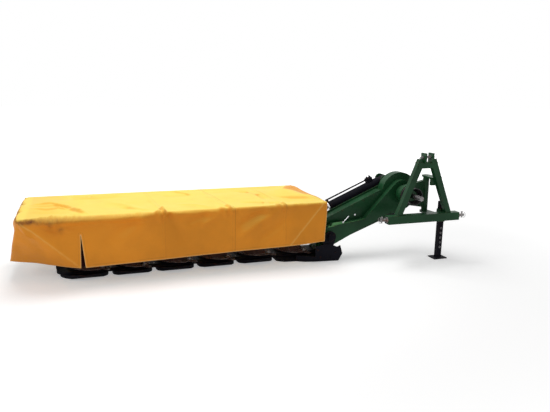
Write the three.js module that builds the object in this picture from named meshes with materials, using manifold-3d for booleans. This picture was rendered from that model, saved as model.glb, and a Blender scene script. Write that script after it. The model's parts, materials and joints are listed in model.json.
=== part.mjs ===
// Rear-mounted disc mower with six discs, a belt drive in the arm and a tarpaulin cover.
// Millimetres. While it is being built X = 0 is the middle plane of the hitch, Y = 0 is the axis of
// the lower hitch pins, Z = 0 is the ground. +Y points rearwards and the bar reaches towards -X.
// At the end the whole assembly is moved so that the bottom centre of its box is the origin.
import * as THREE from "three";
import { mergeVertices } from "three/addons/utils/BufferGeometryUtils.js";
import Module from "manifold-3d";

const wasm = await Module();
wasm.setup();

// ---------------------------------------------------------------- driving dimensions
const SEAT = 0.3; // gap where two bolted pieces meet
const PIN_FIT = 0.4; // radial clearance of a pin in its hole
const RUN_GAP = 8; // least side clearance between moving plates

// discs and cutter bar
const DISC_COUNT = 6;
const DISC_PITCH = 400;
const DISC_INNER_X = -1200; // axis of the innermost disc
const DISC_1_X = DISC_INNER_X - (DISC_COUNT - 1) * DISC_PITCH;
const DISC_Y = 600;
const DISC_LONG = 190; // half the long axis of the oval
const DISC_SHORT = 130;
const DOME_R = 124;
const KNIFE_TIP_R = 250;
const KNIFE_W = 44;
const DISC_TURN = 52; // turn of every second disc's long axis, degrees
const BAR_BOTTOM = 34;
const BAR_TOP = 62;
const BAR_FRONT = 490;
const BAR_REAR = 735;
const BAR_OUTER_X = DISC_1_X - 150;
const BAR_INNER_X = -790;
const BOSS_H = 4;
const DISC_UNDER = 74; // underside of the disc plates
const DISC_PLATE = 8;
const DOME_TOP = 150;

// skids and inner shoe
const SKID_W = 366;
const SKID_FRONT = 383;
const SHOE_FRONT = 292;
const SHOE_INNER_X = -745;
const SHOE_OUTER_X = -1398;
const SHOE_CORNER_X = -1042;

// hinge between arm and bar, and main pivot of the arm
const HINGE = { x: -880, z: 250 };
const MAIN = { x: -60, z: 660 };
const ARM_Y0 = 332;
const ARM_Y1 = 395;
const GUARD_Y1 = 495;
const BACK_PLATE = 10;
const MAIN_TUBE_R = 55;
const SHAFT_R = 24;
const CONE_L = 110;
const HINGE_PIN_R = 25;

// lift cylinder
const CYL_Y = 575;
const CYL_TOP = { x: -170, z: 772 };
const CYL_EYE = { x: -1020, z: 407 };
const BARREL_R = 45;
const ROD_R = 18;
const EYE_R = 32;
const EYE_W = 40;
const GLAND_AT = 688; // from the top pin to the barrel's open end
const PORT_AT = 185; // end of the port block, from the top pin
const LUG_PLATE = 12;
const TOWER_PLATE = 12;

// headstock and hitch
const PIN_SPAN = 825; // between the shoulders of the lower hitch pins
const PIN_Z = 460;
const PIN_R = 14;
const CROSS_TUBE = 80;
const CROSS_Y = 30;
const MAST_Z = 1070;
const POST = { x: 140, y: 220 };
const POST_Z0 = 490;
const POST_Z1 = 840;
const POST_R = 32;
const LUG_T = 18;
const STAND_X = 262;
const STAND_SIDE = 50;
const STAND_TOP = 600;
const SLEEVE_WALL = 6;

// cover
const COVER_TOP = 632;
const SKIN = 4;
const COVER_OUTER_X = DISC_1_X - 530;
const COVER_FLARE_X = DISC_1_X - 624; // bottom edge of the outer end
const FLARE_Y = 600; // where the outer end's front fold meets its hem
const SLIT_X = DISC_1_X - 46;
const SLIT_TOP = 500;
const COVER_INNER_X = -970;
const COVER_FRONT = 210;
const COVER_REAR = 1220;
const HEM_OUTER = 180;
const HEM_INNER = 230;
const HEM_REAR = 420;
const TUBE_R = 15;
const LID_AXIS_Y = 800;
const BEAM_FRONT = 826;
const BEAM_SIDE = 50;
const BEAM_INNER_X = -972;
const BOW_COUNT = 6;
const BOW_OUTER_X = COVER_OUTER_X + 48;
const BOW_INNER_X = COVER_INNER_X - 40;
const BOW_X = Array.from(
  { length: BOW_COUNT },
  (_, i) => BOW_OUTER_X + ((BOW_INNER_X - BOW_OUTER_X) * i) / (BOW_COUNT - 1),
);

const POST_OUTER_X = DISC_1_X - 276;
const SWATH = { x: DISC_1_X - 300, y: 850 };

// ---------------------------------------------------------------- materials
const FINISH = {
  green: ["#16361f", 0.45, 0.2],
  black: ["#111216", 0.5, 0.2],
  tarp: ["#e8a52c", 0.75, 0],
  rust: ["#3a261d", 0.85, 0.3],
  steel: ["#8d9094", 0.4, 0.9],
  chrome: ["#d8dadc", 0.12, 1],
  plastic: ["#17181a", 0.7, 0],
  board: ["#caa235", 0.7, 0],
};

const group = new THREE.Group();
group.name = "disc_mower";

// ---------------------------------------------------------------- plain forms
/** Turn a closed three.js geometry into a manifold body. */
function body(geometry) {
  const bare = geometry.clone();
  bare.deleteAttribute("normal");
  bare.deleteAttribute("uv");
  const merged = mergeVertices(bare, 1e-4);
  const mesh = new wasm.Mesh({
    numProp: 3,
    vertProperties: new Float32Array(merged.attributes.position.array),
    triVerts: new Uint32Array(merged.index.array),
  });
  return new wasm.Manifold(mesh);
}

function union(...parts) {
  return parts.slice(1).reduce((sum, item) => sum.add(item), parts[0]);
}

function block(x0, x1, y0, y1, z0, z1) {
  const geometry = new THREE.BoxGeometry(x1 - x0, y1 - y0, z1 - z0);
  geometry.translate((x0 + x1) / 2, (y0 + y1) / 2, (z0 + z1) / 2);
  return body(geometry);
}

/** Round bar from p to q; both are [x, y, z]. */
function bar(p, q, r, sides = 20) {
  const a = new THREE.Vector3(...p);
  const b = new THREE.Vector3(...q);
  const geometry = new THREE.CylinderGeometry(r, r, a.distanceTo(b), sides);
  const turn = new THREE.Quaternion();
  turn.setFromUnitVectors(new THREE.Vector3(0, 1, 0), b.clone().sub(a).normalize());
  geometry.applyQuaternion(turn);
  const middle = a.add(b).multiplyScalar(0.5);
  geometry.translate(middle.x, middle.y, middle.z);
  return body(geometry);
}

/** Bar along Y about an axis given by its x and z. */
function barY(at, y0, y1, r, sides = 28) {
  return bar([at.x, y0, at.z], [at.x, y1, at.z], r, sides);
}

/** Round rail through several points, with ball corners. */
function rail(points, r, sides = 14) {
  const pieces = [];
  points.slice(1).forEach((point, i) => pieces.push(bar(points[i], point, r, sides)));
  points.slice(1, -1).forEach((point) => {
    const ball = new THREE.SphereGeometry(r * 1.004, sides, sides / 2);
    ball.translate(...point);
    pieces.push(body(ball));
  });
  return union(...pieces);
}

function shapeOf(points) {
  return new THREE.Shape(points.map(([u, v]) => new THREE.Vector2(u, v)));
}

/** Flat outline in X and Z, given thickness along Y. */
function plateXZ(points, y0, y1) {
  const geometry = new THREE.ExtrudeGeometry(shapeOf(points), {
    depth: y1 - y0,
    bevelEnabled: false,
  });
  geometry.rotateX(Math.PI / 2);
  geometry.translate(0, y1, 0);
  return body(geometry);
}

/** Flat outline in X and Y, given height along Z. */
function plateXY(points, z0, z1) {
  const geometry = new THREE.ExtrudeGeometry(shapeOf(points), {
    depth: z1 - z0,
    bevelEnabled: false,
  });
  geometry.translate(0, 0, z0);
  return body(geometry);
}

/** Outline in Y and Z, run along X. */
function plateYZ(points, x0, x1) {
  const geometry = new THREE.ExtrudeGeometry(shapeOf(points), {
    depth: x1 - x0,
    bevelEnabled: false,
  });
  const basis = new THREE.Matrix4().makeBasis(
    new THREE.Vector3(0, 1, 0),
    new THREE.Vector3(0, 0, 1),
    new THREE.Vector3(1, 0, 0),
  );
  geometry.applyMatrix4(basis);
  geometry.translate(x0, 0, 0);
  return body(geometry);
}

/** Points of a circle in the plane of an outline. */
function ring(u, v, r, count = 36) {
  return Array.from({ length: count }, (_, i) => {
    const a = (2 * Math.PI * i) / count;
    return [u + r * Math.cos(a), v + r * Math.sin(a)];
  });
}

/** Convex outline round a set of points. */
function wrap(points) {
  const sorted = [...points].sort((a, b) => a[0] - b[0] || a[1] - b[1]);
  const cross = (o, a, b) => (a[0] - o[0]) * (b[1] - o[1]) - (a[1] - o[1]) * (b[0] - o[0]);
  const half = (list) => {
    const out = [];
    list.forEach((p) => {
      while (out.length > 1 && cross(out[out.length - 2], out[out.length - 1], p) <= 1e-6) {
        out.pop();
      }
      out.push(p);
    });
    out.pop();
    return out;
  };
  return half(sorted).concat(half(sorted.reverse()));
}

/** Round body about +Z from [radius, height] pairs that start and end on the axis. */
function turned(profile, sides = 40) {
  const points = profile.map(([r, z]) => new THREE.Vector2(r, z));
  const geometry = new THREE.LatheGeometry(points, sides);
  geometry.rotateX(Math.PI / 2);
  return body(geometry);
}

/** Name a body, give it its finish and put it in the assembly. */
function place(name, shape, finish) {
  const mesh = shape.getMesh();
  const geometry = new THREE.BufferGeometry();
  const positions = new Float32Array(mesh.numVert * 3);
  for (let i = 0; i < mesh.numVert; i += 1) {
    for (let k = 0; k < 3; k += 1) {
      positions[3 * i + k] = mesh.vertProperties[i * mesh.numProp + k];
    }
  }
  geometry.setAttribute("position", new THREE.BufferAttribute(positions, 3));
  geometry.setIndex(new THREE.BufferAttribute(new Uint32Array(mesh.triVerts), 1));
  geometry.computeVertexNormals();
  const [color, roughness, metalness] = FINISH[finish];
  const material = new THREE.MeshStandardMaterial({ color, roughness, metalness });
  material.name = `${name}_finish`;
  const item = new THREE.Mesh(geometry, material);
  item.name = name;
  group.add(item);
}

// ---------------------------------------------------------------- headstock
function headstockFrame() {
  const half = CROSS_TUBE / 2;
  const y0 = CROSS_Y - half;
  const y1 = CROSS_Y + half;
  const side = PIN_SPAN / 2 - 6;
  const cross = block(-side, side, y0, y1, PIN_Z - half, PIN_Z + half);
  const legs = [-1, 1].map((s) =>
    plateXZ(
      wrap([
        [s * 330, PIN_Z],
        [s * 270, PIN_Z],
        [s * 95, MAST_Z - 20],
        [s * 40, MAST_Z - 60],
        [s * 30, MAST_Z - 20],
      ]),
      y0 + 15,
      y1 - 15,
    ),
  );
  const head = block(-110, 110, y0 + 10, y1 - 10, MAST_Z - 110, MAST_Z - 50);
  const ears = [-50, 32].map((x) =>
    block(x, x + 18, y0 - 10, y1 - 10, MAST_Z - 60, MAST_Z + 40),
  );
  // lugs of the breakaway post
  const lugShape = wrap([
    ...ring(POST.x, POST.y, 46),
    [POST.x - 60, y1 - 20],
    [POST.x + 60, y1 - 20],
  ]);
  const lowLug = plateXY(lugShape, POST_Z0 - LUG_T - 1, POST_Z0 - 1);
  const highLug = plateXY(lugShape, POST_Z1 + 1, POST_Z1 + 1 + LUG_T);
  const riser = block(POST.x - 60, POST.x + 60, y1 - 30, y1, POST_Z1 - 60, POST_Z1 + 1 + LUG_T);
  // sleeve of the parking stand
  const out = STAND_SIDE / 2 + PIN_FIT + SLEEVE_WALL;
  const sleeveY = y1 + out;
  const sleeve = block(
    STAND_X - out,
    STAND_X + out,
    sleeveY - out,
    sleeveY + out,
    PIN_Z - 70,
    PIN_Z + 60,
  );
  let shape = union(cross, ...legs, head, ...ears, lowLug, highLug, riser, sleeve);
  const hollow = STAND_SIDE / 2 + PIN_FIT;
  shape = shape.subtract(
    block(
      STAND_X - hollow,
      STAND_X + hollow,
      sleeveY - hollow,
      sleeveY + hollow,
      PIN_Z - 80,
      PIN_Z + 70,
    ),
  );
  const postHole = (z) => bar([POST.x, POST.y, z - 30], [POST.x, POST.y, z + 30], 16 + PIN_FIT);
  shape = shape.subtract(postHole(POST_Z0 - 10));
  shape = shape.subtract(postHole(POST_Z1 + 10));
  shape = shape.subtract(bar([-500, CROSS_Y, PIN_Z], [500, CROSS_Y, PIN_Z], 20 + SEAT, 24));
  return shape.subtract(bar([-90, y0 + 26, MAST_Z], [90, y0 + 26, MAST_Z], 13 + SEAT, 20));
}

function hitchBar() {
  const end = PIN_SPAN / 2;
  const pin = bar([-end - 75, CROSS_Y, PIN_Z], [end + 75, CROSS_Y, PIN_Z], PIN_R, 24);
  const core = bar([-end, CROSS_Y, PIN_Z], [end, CROSS_Y, PIN_Z], 20, 24);
  const collars = [-1, 1].map((s) =>
    bar([s * (end - 6 + SEAT), CROSS_Y, PIN_Z], [s * (end + 10), CROSS_Y, PIN_Z], 30, 24),
  );
  return union(pin, core, ...collars);
}

place("headstock_frame", headstockFrame(), "green");
place("hitch_bar", hitchBar(), "steel");
const mastPinY = CROSS_Y - CROSS_TUBE / 2 + 26;
place(
  "top_link_pin",
  union(
    bar([-66, mastPinY, MAST_Z], [70, mastPinY, MAST_Z], 12.5, 20),
    bar([50 + SEAT, mastPinY, MAST_Z], [58, mastPinY, MAST_Z], 20, 20),
  ),
  "steel",
);

const standY = CROSS_Y + CROSS_TUBE / 2 + STAND_SIDE / 2 + PIN_FIT + SLEEVE_WALL;
const standHalf = STAND_SIDE / 2;
place(
  "parking_stand",
  union(
    block(
      STAND_X - standHalf,
      STAND_X + standHalf,
      standY - standHalf,
      standY + standHalf,
      4,
      STAND_TOP,
    ),
    block(STAND_X - 75, STAND_X + 75, standY - 60, standY + 60, 0, 10),
  ),
  "black",
);

// latch that holds the swing frame until the bar meets an obstacle
place(
  "breakaway_latch",
  union(
    block(-330, -170, CROSS_Y + CROSS_TUBE / 2 + SEAT, 165, PIN_Z - 25, PIN_Z + 25),
    bar([-250, 165, PIN_Z], [-250, 190, PIN_Z], 24, 20),
  ),
  "black",
);

// ---------------------------------------------------------------- swing frame
function swingFrame() {
  const post = bar([POST.x, POST.y, POST_Z0], [POST.x, POST.y, POST_Z1], POST_R, 28);
  const stub = bar([POST.x, POST.y, POST_Z0 - 22], [POST.x, POST.y, POST_Z1 + 22], 16, 24);
  const plate = plateXZ(
    wrap([
      ...ring(MAIN.x, MAIN.z, 105),
      [POST.x, POST_Z0 + 30],
      [POST.x, POST_Z1 - 30],
    ]),
    POST.y - 15,
    POST.y + 35,
  );
  const tube = barY(MAIN, 150, 650, MAIN_TUBE_R, 36);
  const collar = barY(MAIN, POST.y + 30, ARM_Y0 - RUN_GAP, MAIN_TUBE_R + 30, 36);
  const hollow = barY(MAIN, 100, 480, SHAFT_R + PIN_FIT, 28);
  return union(post, stub, plate, tube, collar).subtract(hollow);
}

function tower() {
  const front = GUARD_Y1 + BACK_PLATE + 5.5;
  const inner = CYL_Y - BARREL_R - RUN_GAP;
  const outline = wrap([
    ...ring(MAIN.x, MAIN.z, 95, 28),
    ...ring(CYL_TOP.x, CYL_TOP.z, 52, 28),
    [-30, 780],
  ]);
  const plates = [
    plateXZ(outline, front, inner),
    plateXZ(outline, 2 * CYL_Y - inner, 2 * CYL_Y - inner + TOWER_PLATE),
  ];
  const web = block(-95, -35, front, 2 * CYL_Y - inner + TOWER_PLATE, 735, 775);
  const shape = union(...plates, web);
  const bore = barY(MAIN, 400, 800, MAIN_TUBE_R + SEAT, 36);
  const pin = barY(CYL_TOP, 400, 800, 16 + SEAT, 24);
  return shape.subtract(bore).subtract(pin);
}

place("swing_frame", swingFrame(), "green");
place("cylinder_tower", tower(), "green");
const towerInner = CYL_Y - BARREL_R - RUN_GAP;
const towerOuter = 2 * CYL_Y - towerInner + TOWER_PLATE;
place(
  "cylinder_top_pin",
  union(
    barY(CYL_TOP, GUARD_Y1 + BACK_PLATE + 5.5, towerOuter + 12, 16, 24),
    barY(CYL_TOP, towerOuter + SEAT, towerOuter + 9, 26, 24),
  ),
  "steel",
);

function inputShaft() {
  const shaft = barY(MAIN, -20, 470, SHAFT_R, 28);
  const spline = union(
    ...Array.from({ length: 6 }, (_, i) => {
      const a = (Math.PI * i) / 3;
      const at = { x: MAIN.x + 21.5 * Math.cos(a), z: MAIN.z + 21.5 * Math.sin(a) };
      return barY(at, -21, 60, 4, 8);
    }),
  );
  return shaft.subtract(spline);
}

place("input_shaft", inputShaft(), "steel");

function guardCone() {
  const wide = MAIN_TUBE_R + 33;
  const narrow = MAIN_TUBE_R + 17;
  const outer = turned([[0, 0], [wide, 0], [narrow, CONE_L], [0, CONE_L]], 32);
  const inner = turned([[0, -1], [wide - 6, -1], [narrow - 6, CONE_L + 1], [0, CONE_L + 1]], 32);
  const ring0 = narrow + 26;
  const flange = turned([[0, CONE_L - 8], [ring0, CONE_L - 8], [ring0, CONE_L], [0, CONE_L]], 32);
  const gap = MAIN_TUBE_R + 1;
  const hole = turned([[0, CONE_L - 20], [gap, CONE_L - 20], [gap, CONE_L + 20], [0, CONE_L + 20]], 32);
  const shape = union(outer.subtract(inner), flange).subtract(hole);
  return shape.rotate([-90, 0, 0]).translate([MAIN.x, POST.y - 15 - SEAT - CONE_L, MAIN.z]);
}

place("shaft_guard", guardCone(), "plastic");

// ---------------------------------------------------------------- arm
function armBeam() {
  const low = ring(HINGE.x, HINGE.z, 100, 36);
  const elbow = [
    [-494, 401],
    [-483, 327],
  ];
  const outer = wrap([...low, ...elbow]);
  const hub = wrap([...ring(MAIN.x, MAIN.z, 135, 36), ...elbow]);
  const beam = union(plateXZ(outer, ARM_Y0, ARM_Y1), plateXZ(hub, ARM_Y0, ARM_Y1));
  // pressed flange along the top of the outer half, and the gusset above it
  const flange = plateXZ(
    [
      [-900, 346],
      [-494, 399],
      [-494, 408],
      [-900, 356],
    ],
    ARM_Y0 - 14,
    ARM_Y1,
  );
  const gusset = plateXZ(
    [
      [-880, 352],
      [-700, 374],
      [-722, 398],
      [-868, 388],
    ],
    ARM_Y0,
    ARM_Y0 + 12,
  );
  const shape = union(beam, flange, gusset);
  const bores = union(
    barY(MAIN, 300, 420, MAIN_TUBE_R + PIN_FIT, 36),
    barY(HINGE, 300, 420, HINGE_PIN_R + PIN_FIT, 28),
  );
  return shape.subtract(bores);
}

function beltGuard() {
  // the long case stays under the lift cylinder, and the round end of the big pulley stands above it
  const pulley = ring(MAIN.x, MAIN.z, 205, 44);
  const outline = wrap([
    ...ring(HINGE.x, HINGE.z, 112, 36),
    ...pulley.filter((point) => point[1] <= MAIN.z),
    [-905, 417],
    [-880, 434],
    [-290, 687],
  ]);
  const y0 = ARM_Y1 + SEAT;
  const y1 = GUARD_Y1 - SEAT;
  const shape = union(plateXZ(outline, y0, y1), plateXZ(wrap(pulley), y0, y1));
  const bores = union(
    barY(MAIN, 380, 520, MAIN_TUBE_R + PIN_FIT, 36),
    barY(HINGE, 380, 520, HINGE_PIN_R + 12, 28),
  );
  return shape.subtract(bores);
}

function backPlate() {
  const low = ring(HINGE.x, HINGE.z, 95, 32);
  const long = wrap([...low, ...ring(MAIN.x, MAIN.z, 100, 36)]);
  const lug = wrap([...low, ...ring(CYL_EYE.x, CYL_EYE.z, 50, 24)]);
  const y1 = GUARD_Y1 + BACK_PLATE;
  const shape = union(plateXZ(long, GUARD_Y1, y1), plateXZ(lug, GUARD_Y1, y1));
  const bores = union(
    barY(MAIN, 480, 520, MAIN_TUBE_R + PIN_FIT, 36),
    barY(HINGE, 480, 520, HINGE_PIN_R + PIN_FIT, 28),
  );
  return shape.subtract(bores);
}

function rodLug() {
  const gap = EYE_W / 2 + RUN_GAP;
  const cheek = wrap([
    ...ring(CYL_EYE.x, CYL_EYE.z, 42, 24),
    [CYL_EYE.x - 75, CYL_EYE.z - 20],
    [CYL_EYE.x - 55, CYL_EYE.z - 62],
    [CYL_EYE.x + 5, CYL_EYE.z - 66],
  ]);
  const y0 = GUARD_Y1 + BACK_PLATE + SEAT;
  const front = plateXZ(cheek, CYL_Y - gap - LUG_PLATE, CYL_Y - gap);
  const rear = plateXZ(cheek, CYL_Y + gap, CYL_Y + gap + LUG_PLATE);
  const web = plateXZ(
    [
      [CYL_EYE.x - 70, CYL_EYE.z - 22],
      [CYL_EYE.x - 53, CYL_EYE.z - 59],
      [CYL_EYE.x - 12, CYL_EYE.z - 61],
      [CYL_EYE.x - 42, CYL_EYE.z - 48],
      [CYL_EYE.x - 58, CYL_EYE.z - 28],
    ],
    y0,
    CYL_Y + gap + LUG_PLATE - 1,
  );
  const foot = plateXZ(wrap(ring(CYL_EYE.x, CYL_EYE.z, 34, 24)), y0, CYL_Y - gap - 2);
  const heads = union(
    barY(CYL_EYE, CYL_Y + gap + 2, CYL_Y + gap + LUG_PLATE + 9, 24, 24),
    barY(CYL_EYE, CYL_Y + gap + 2, CYL_Y + gap + LUG_PLATE + 14, 14, 20),
  );
  return union(front, rear, web, foot, heads);
}

place("arm_beam", armBeam(), "green");
place("belt_guard", beltGuard(), "green");
place("arm_back_plate", backPlate(), "green");
place("rod_lug", rodLug(), "green");

// ---------------------------------------------------------------- lift cylinder
const along = new THREE.Vector2(CYL_EYE.x - CYL_TOP.x, CYL_EYE.z - CYL_TOP.z);
const CYL_LENGTH = along.length();
along.normalize();
const up = new THREE.Vector2(along.y, -along.x); // square to the cylinder, pointing upwards

/** Point at a distance along the cylinder from its top pin and a height above its axis. */
function onCylinder(distance, height = 0) {
  return {
    x: CYL_TOP.x + along.x * distance + up.x * height,
    z: CYL_TOP.z + along.y * distance + up.y * height,
  };
}

/** Round bar along the cylinder's axis. */
function cylinderBar(from, to, r, height = 0, sides = 32, y = CYL_Y) {
  const a = onCylinder(from, height);
  const b = onCylinder(to, height);
  return bar([a.x, y, a.z], [b.x, y, b.z], r, sides);
}

function barrel() {
  const tube = cylinderBar(46, GLAND_AT - 6, BARREL_R, 0, 40);
  const gland = cylinderBar(GLAND_AT - 40, GLAND_AT, BARREL_R + 4, 0, 40);
  const neck = union(
    cylinderBar(20, 60, 30, 0, 32),
    barY(CYL_TOP, CYL_Y - 25, CYL_Y + 25, 38, 32),
  );
  const shape = union(tube, gland, neck);
  const bore = cylinderBar(GLAND_AT - 320, GLAND_AT + 20, ROD_R + PIN_FIT, 0, 32);
  const pin = barY(CYL_TOP, 400, 800, 16 + PIN_FIT, 28);
  return shape.subtract(bore).subtract(pin);
}

function rod() {
  const stem = cylinderBar(GLAND_AT - 120, CYL_LENGTH - EYE_R + 6, ROD_R, 0, 32);
  const eye = barY(CYL_EYE, CYL_Y - EYE_W / 2, CYL_Y + EYE_W / 2, EYE_R, 32);
  return union(stem, eye);
}

function pipe() {
  const clear = BARREL_R + 28;
  const points = [
    onCylinder(GLAND_AT - 22, BARREL_R + 6),
    onCylinder(GLAND_AT - 22, clear),
    onCylinder(PORT_AT, clear),
  ].map((p) => [p.x, CYL_Y, p.z]);
  const a = onCylinder(GLAND_AT - 22, BARREL_R + 4 + SEAT);
  const b = onCylinder(GLAND_AT - 22, clear + 4);
  const fitting = bar([a.x, CYL_Y, a.z], [b.x, CYL_Y, b.z], 15, 20);
  return union(rail(points, 8, 14), fitting);
}

function portBlock() {
  const a = onCylinder(PORT_AT - SEAT, BARREL_R - 6);
  const b = onCylinder(PORT_AT - 70, BARREL_R - 6);
  const c = onCylinder(PORT_AT - 70, BARREL_R + 40);
  const d = onCylinder(PORT_AT - SEAT, BARREL_R + 40);
  const outline = [a, d, c, b].map((p) => [p.x, p.z]);
  const shape = plateXZ(outline, CYL_Y - 24, CYL_Y + 24);
  return shape.subtract(cylinderBar(100, 300, BARREL_R + SEAT, 0, 40));
}

place("cylinder_barrel", barrel(), "black");
place("cylinder_rod", rod(), "chrome");
place("cylinder_pipe", pipe(), "black");
place("cylinder_port_block", portBlock(), "black");

// ---------------------------------------------------------------- cutter bar
const discX = Array.from({ length: DISC_COUNT }, (_, i) => DISC_1_X + i * DISC_PITCH);

function cutterBar() {
  const section = [
    [BAR_FRONT + 8, BAR_BOTTOM],
    [BAR_REAR - 10, BAR_BOTTOM],
    [BAR_REAR, BAR_BOTTOM + 10],
    [BAR_REAR, BAR_TOP - 8],
    [BAR_REAR - 14, BAR_TOP],
    [BAR_FRONT + 34, BAR_TOP],
    [BAR_FRONT, BAR_BOTTOM + 12],
    [BAR_FRONT, BAR_BOTTOM + 5],
  ].reverse();
  const beam = plateYZ(section, BAR_OUTER_X, BAR_INNER_X);
  const bosses = discX.map((x) =>
    bar([x, DISC_Y, BAR_TOP - 4], [x, DISC_Y, BAR_TOP + BOSS_H], 62, 28),
  );
  const end = block(POST_OUTER_X, BAR_OUTER_X + 10, 705, 800, BAR_BOTTOM, BAR_TOP - 4);
  const round = bar([BAR_OUTER_X, 612, BAR_BOTTOM], [BAR_OUTER_X, 612, BAR_TOP - 2], 118, 36);
  return union(beam, ...bosses, end, round);
}

function skids() {
  const section = [
    [BAR_REAR, 0],
    [BAR_REAR, BAR_BOTTOM - SEAT],
    [BAR_FRONT - 4, BAR_BOTTOM - SEAT],
    [440, 45],
    [394, 54],
    [SKID_FRONT, 47],
    [400, 27],
    [440, 11],
    [505, 0],
  ];
  const lobes = discX.slice(0, DISC_COUNT - 1).map((x, i) => {
    const outer = i === 0 ? x - 240 : x - SKID_W / 2;
    const run = plateYZ(section, outer, x + SKID_W / 2);
    const nose = wrap([
      ...ring(x, SKID_FRONT + SKID_W / 2, SKID_W / 2, 44),
      [x - SKID_W / 2, BAR_REAR + 1],
      [x + SKID_W / 2, BAR_REAR + 1],
      ...(i === 0 ? ring(x - 118, BAR_REAR - 122, 121, 36) : []),
    ]);
    return run.intersect(plateXY(nose, -1, 80));
  });
  const strip = block(discX[0], discX[DISC_COUNT - 2], 640, BAR_REAR - 5, 12, BAR_BOTTOM - SEAT);
  return union(...lobes, strip);
}

function innerShoe() {
  const inner = SHOE_INNER_X - 42;
  const section = [
    [BAR_REAR, 0],
    [BAR_REAR, BAR_BOTTOM - SEAT],
    [BAR_FRONT - 4, BAR_BOTTOM - SEAT],
    [SHOE_FRONT + 90, 12],
    [SHOE_FRONT, 20],
    [SHOE_FRONT, 12],
    [SHOE_FRONT + 60, 0],
  ];
  const plan = [
    [SHOE_OUTER_X, BAR_REAR + 1],
    [SHOE_OUTER_X, 455],
    [SHOE_OUTER_X + 70, 405],
    [SHOE_OUTER_X + 190, 392],
    [SHOE_CORNER_X, SHOE_FRONT],
    [inner + 1, SHOE_FRONT - 1],
    [inner + 1, BAR_REAR + 1],
  ];
  const sole = plateYZ(section, SHOE_OUTER_X, inner).intersect(plateXY(plan, -1, 60));
  const face = plateXZ(
    [
      [SHOE_CORNER_X, 12],
      [inner, 2],
      [SHOE_INNER_X, 74],
      [-771, 161],
      [-804, 148],
      [-894, 187],
      [SHOE_CORNER_X, 168],
    ],
    SHOE_FRONT,
    SHOE_FRONT + 8,
  );
  const wing = plateXY(
    [
      [SHOE_CORNER_X, SHOE_FRONT],
      [SHOE_CORNER_X + 8, SHOE_FRONT + 8],
      [SHOE_OUTER_X + 196, 400],
      [SHOE_OUTER_X + 190, 393],
    ],
    12,
    60,
  );
  const side = plateYZ(
    [
      [SHOE_FRONT + 2, 15],
      [520, 15],
      [SHOE_FRONT + 90, 90],
      [SHOE_FRONT + 12, 130],
      [SHOE_FRONT + 2, 130],
    ],
    inner - 8,
    inner,
  );
  return union(sole, face, wing, side);
}

function hingeYoke() {
  const y0 = SHOE_FRONT + 8 + SEAT;
  const plate = plateXZ(
    wrap([
      ...ring(HINGE.x, HINGE.z, 60, 32),
      [-985, 32],
      [-880, 32],
    ]),
    y0,
    y0 + 14,
  );
  const frontPin = barY(HINGE, y0 + 4, ARM_Y1 - 4, HINGE_PIN_R, 28);
  const cap = barY(HINGE, SHOE_FRONT, y0 + 6, 44, 28);
  return union(plate, frontPin, cap);
}

function gearbox() {
  const neck = block(-932, -806, 545, 690, BAR_TOP + SEAT, 180);
  const flange = block(-944, -796, 535, 700, BAR_TOP + SEAT, BAR_TOP + 12);
  const bowl = wrap([...ring(HINGE.x, HINGE.z, 98, 36), [-950, 165], [-800, 165]]);
  const house = plateXZ(bowl, 530, 700);
  const boss = barY(HINGE, GUARD_Y1 + BACK_PLATE + 4, 540, 62, 32);
  const stub = barY(HINGE, ARM_Y1 + 40, 540, HINGE_PIN_R, 28);
  return union(neck, flange, house, boss, stub);
}

place("cutter_bar", cutterBar(), "black");
place("skids", skids(), "black");
place("inner_shoe", innerShoe(), "black");
place("hinge_yoke", hingeYoke(), "black");
place("bevel_gearbox", gearbox(), "green");

// ---------------------------------------------------------------- discs
function disc(turn) {
  const oval = Array.from({ length: 48 }, (_, i) => {
    const a = (2 * Math.PI * i) / 48;
    return [DISC_LONG * Math.cos(a), DISC_SHORT * Math.sin(a)];
  });
  const plate = plateXY(oval, DISC_UNDER, DISC_UNDER + DISC_PLATE);
  const rise = DOME_TOP - DISC_UNDER - DISC_PLATE;
  const base = DISC_UNDER + DISC_PLATE;
  const dome = turned(
    [
      [0, base - 2],
      [DOME_R, base - 2],
      [DOME_R - 6, base + 0.28 * rise],
      [DOME_R - 26, base + 0.62 * rise],
      [DOME_R - 52, base + 0.88 * rise],
      [DOME_R - 84, base + rise],
      [0, base + rise],
    ],
    40,
  );
  const hub = turned(
    [
      [0, BAR_TOP + BOSS_H + 0.5],
      [52, BAR_TOP + BOSS_H + 0.5],
      [52, DISC_UNDER + 1],
      [0, DISC_UNDER + 1],
    ],
    28,
  );
  const knives = [-1, 1].map((s) =>
    plateXY(
      wrap([
        [s * (DISC_LONG - 40), -KNIFE_W / 2],
        [s * (DISC_LONG - 40), KNIFE_W / 2],
        [s * (KNIFE_TIP_R - 16), KNIFE_W / 2],
        [s * (KNIFE_TIP_R - 3), KNIFE_W / 2 - 12],
        [s * (KNIFE_TIP_R - 3), -KNIFE_W / 2 + 12],
        [s * (KNIFE_TIP_R - 16), -KNIFE_W / 2],
      ]),
      DISC_UNDER - 5,
      DISC_UNDER + 1,
    ),
  );
  return union(plate, dome, hub, ...knives).rotate([0, 0, turn]);
}

discX.forEach((x, i) => {
  const turn = i % 2 === 0 ? DISC_TURN + 90 : -DISC_TURN;
  place(`disc_${i + 1}`, disc(turn).translate([x, DISC_Y, 0]), "rust");
});

// ---------------------------------------------------------------- cover frame
const frameZ = COVER_TOP - SKIN - TUBE_R - SEAT; // height of the tube centres
const beamTop = COVER_TOP - SKIN - SEAT;
const beamBottom = beamTop - BEAM_SIDE;
const railFront = COVER_FRONT + SKIN + TUBE_R + SEAT;
const railRear = COVER_REAR - SKIN - TUBE_R - SEAT;

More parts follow.
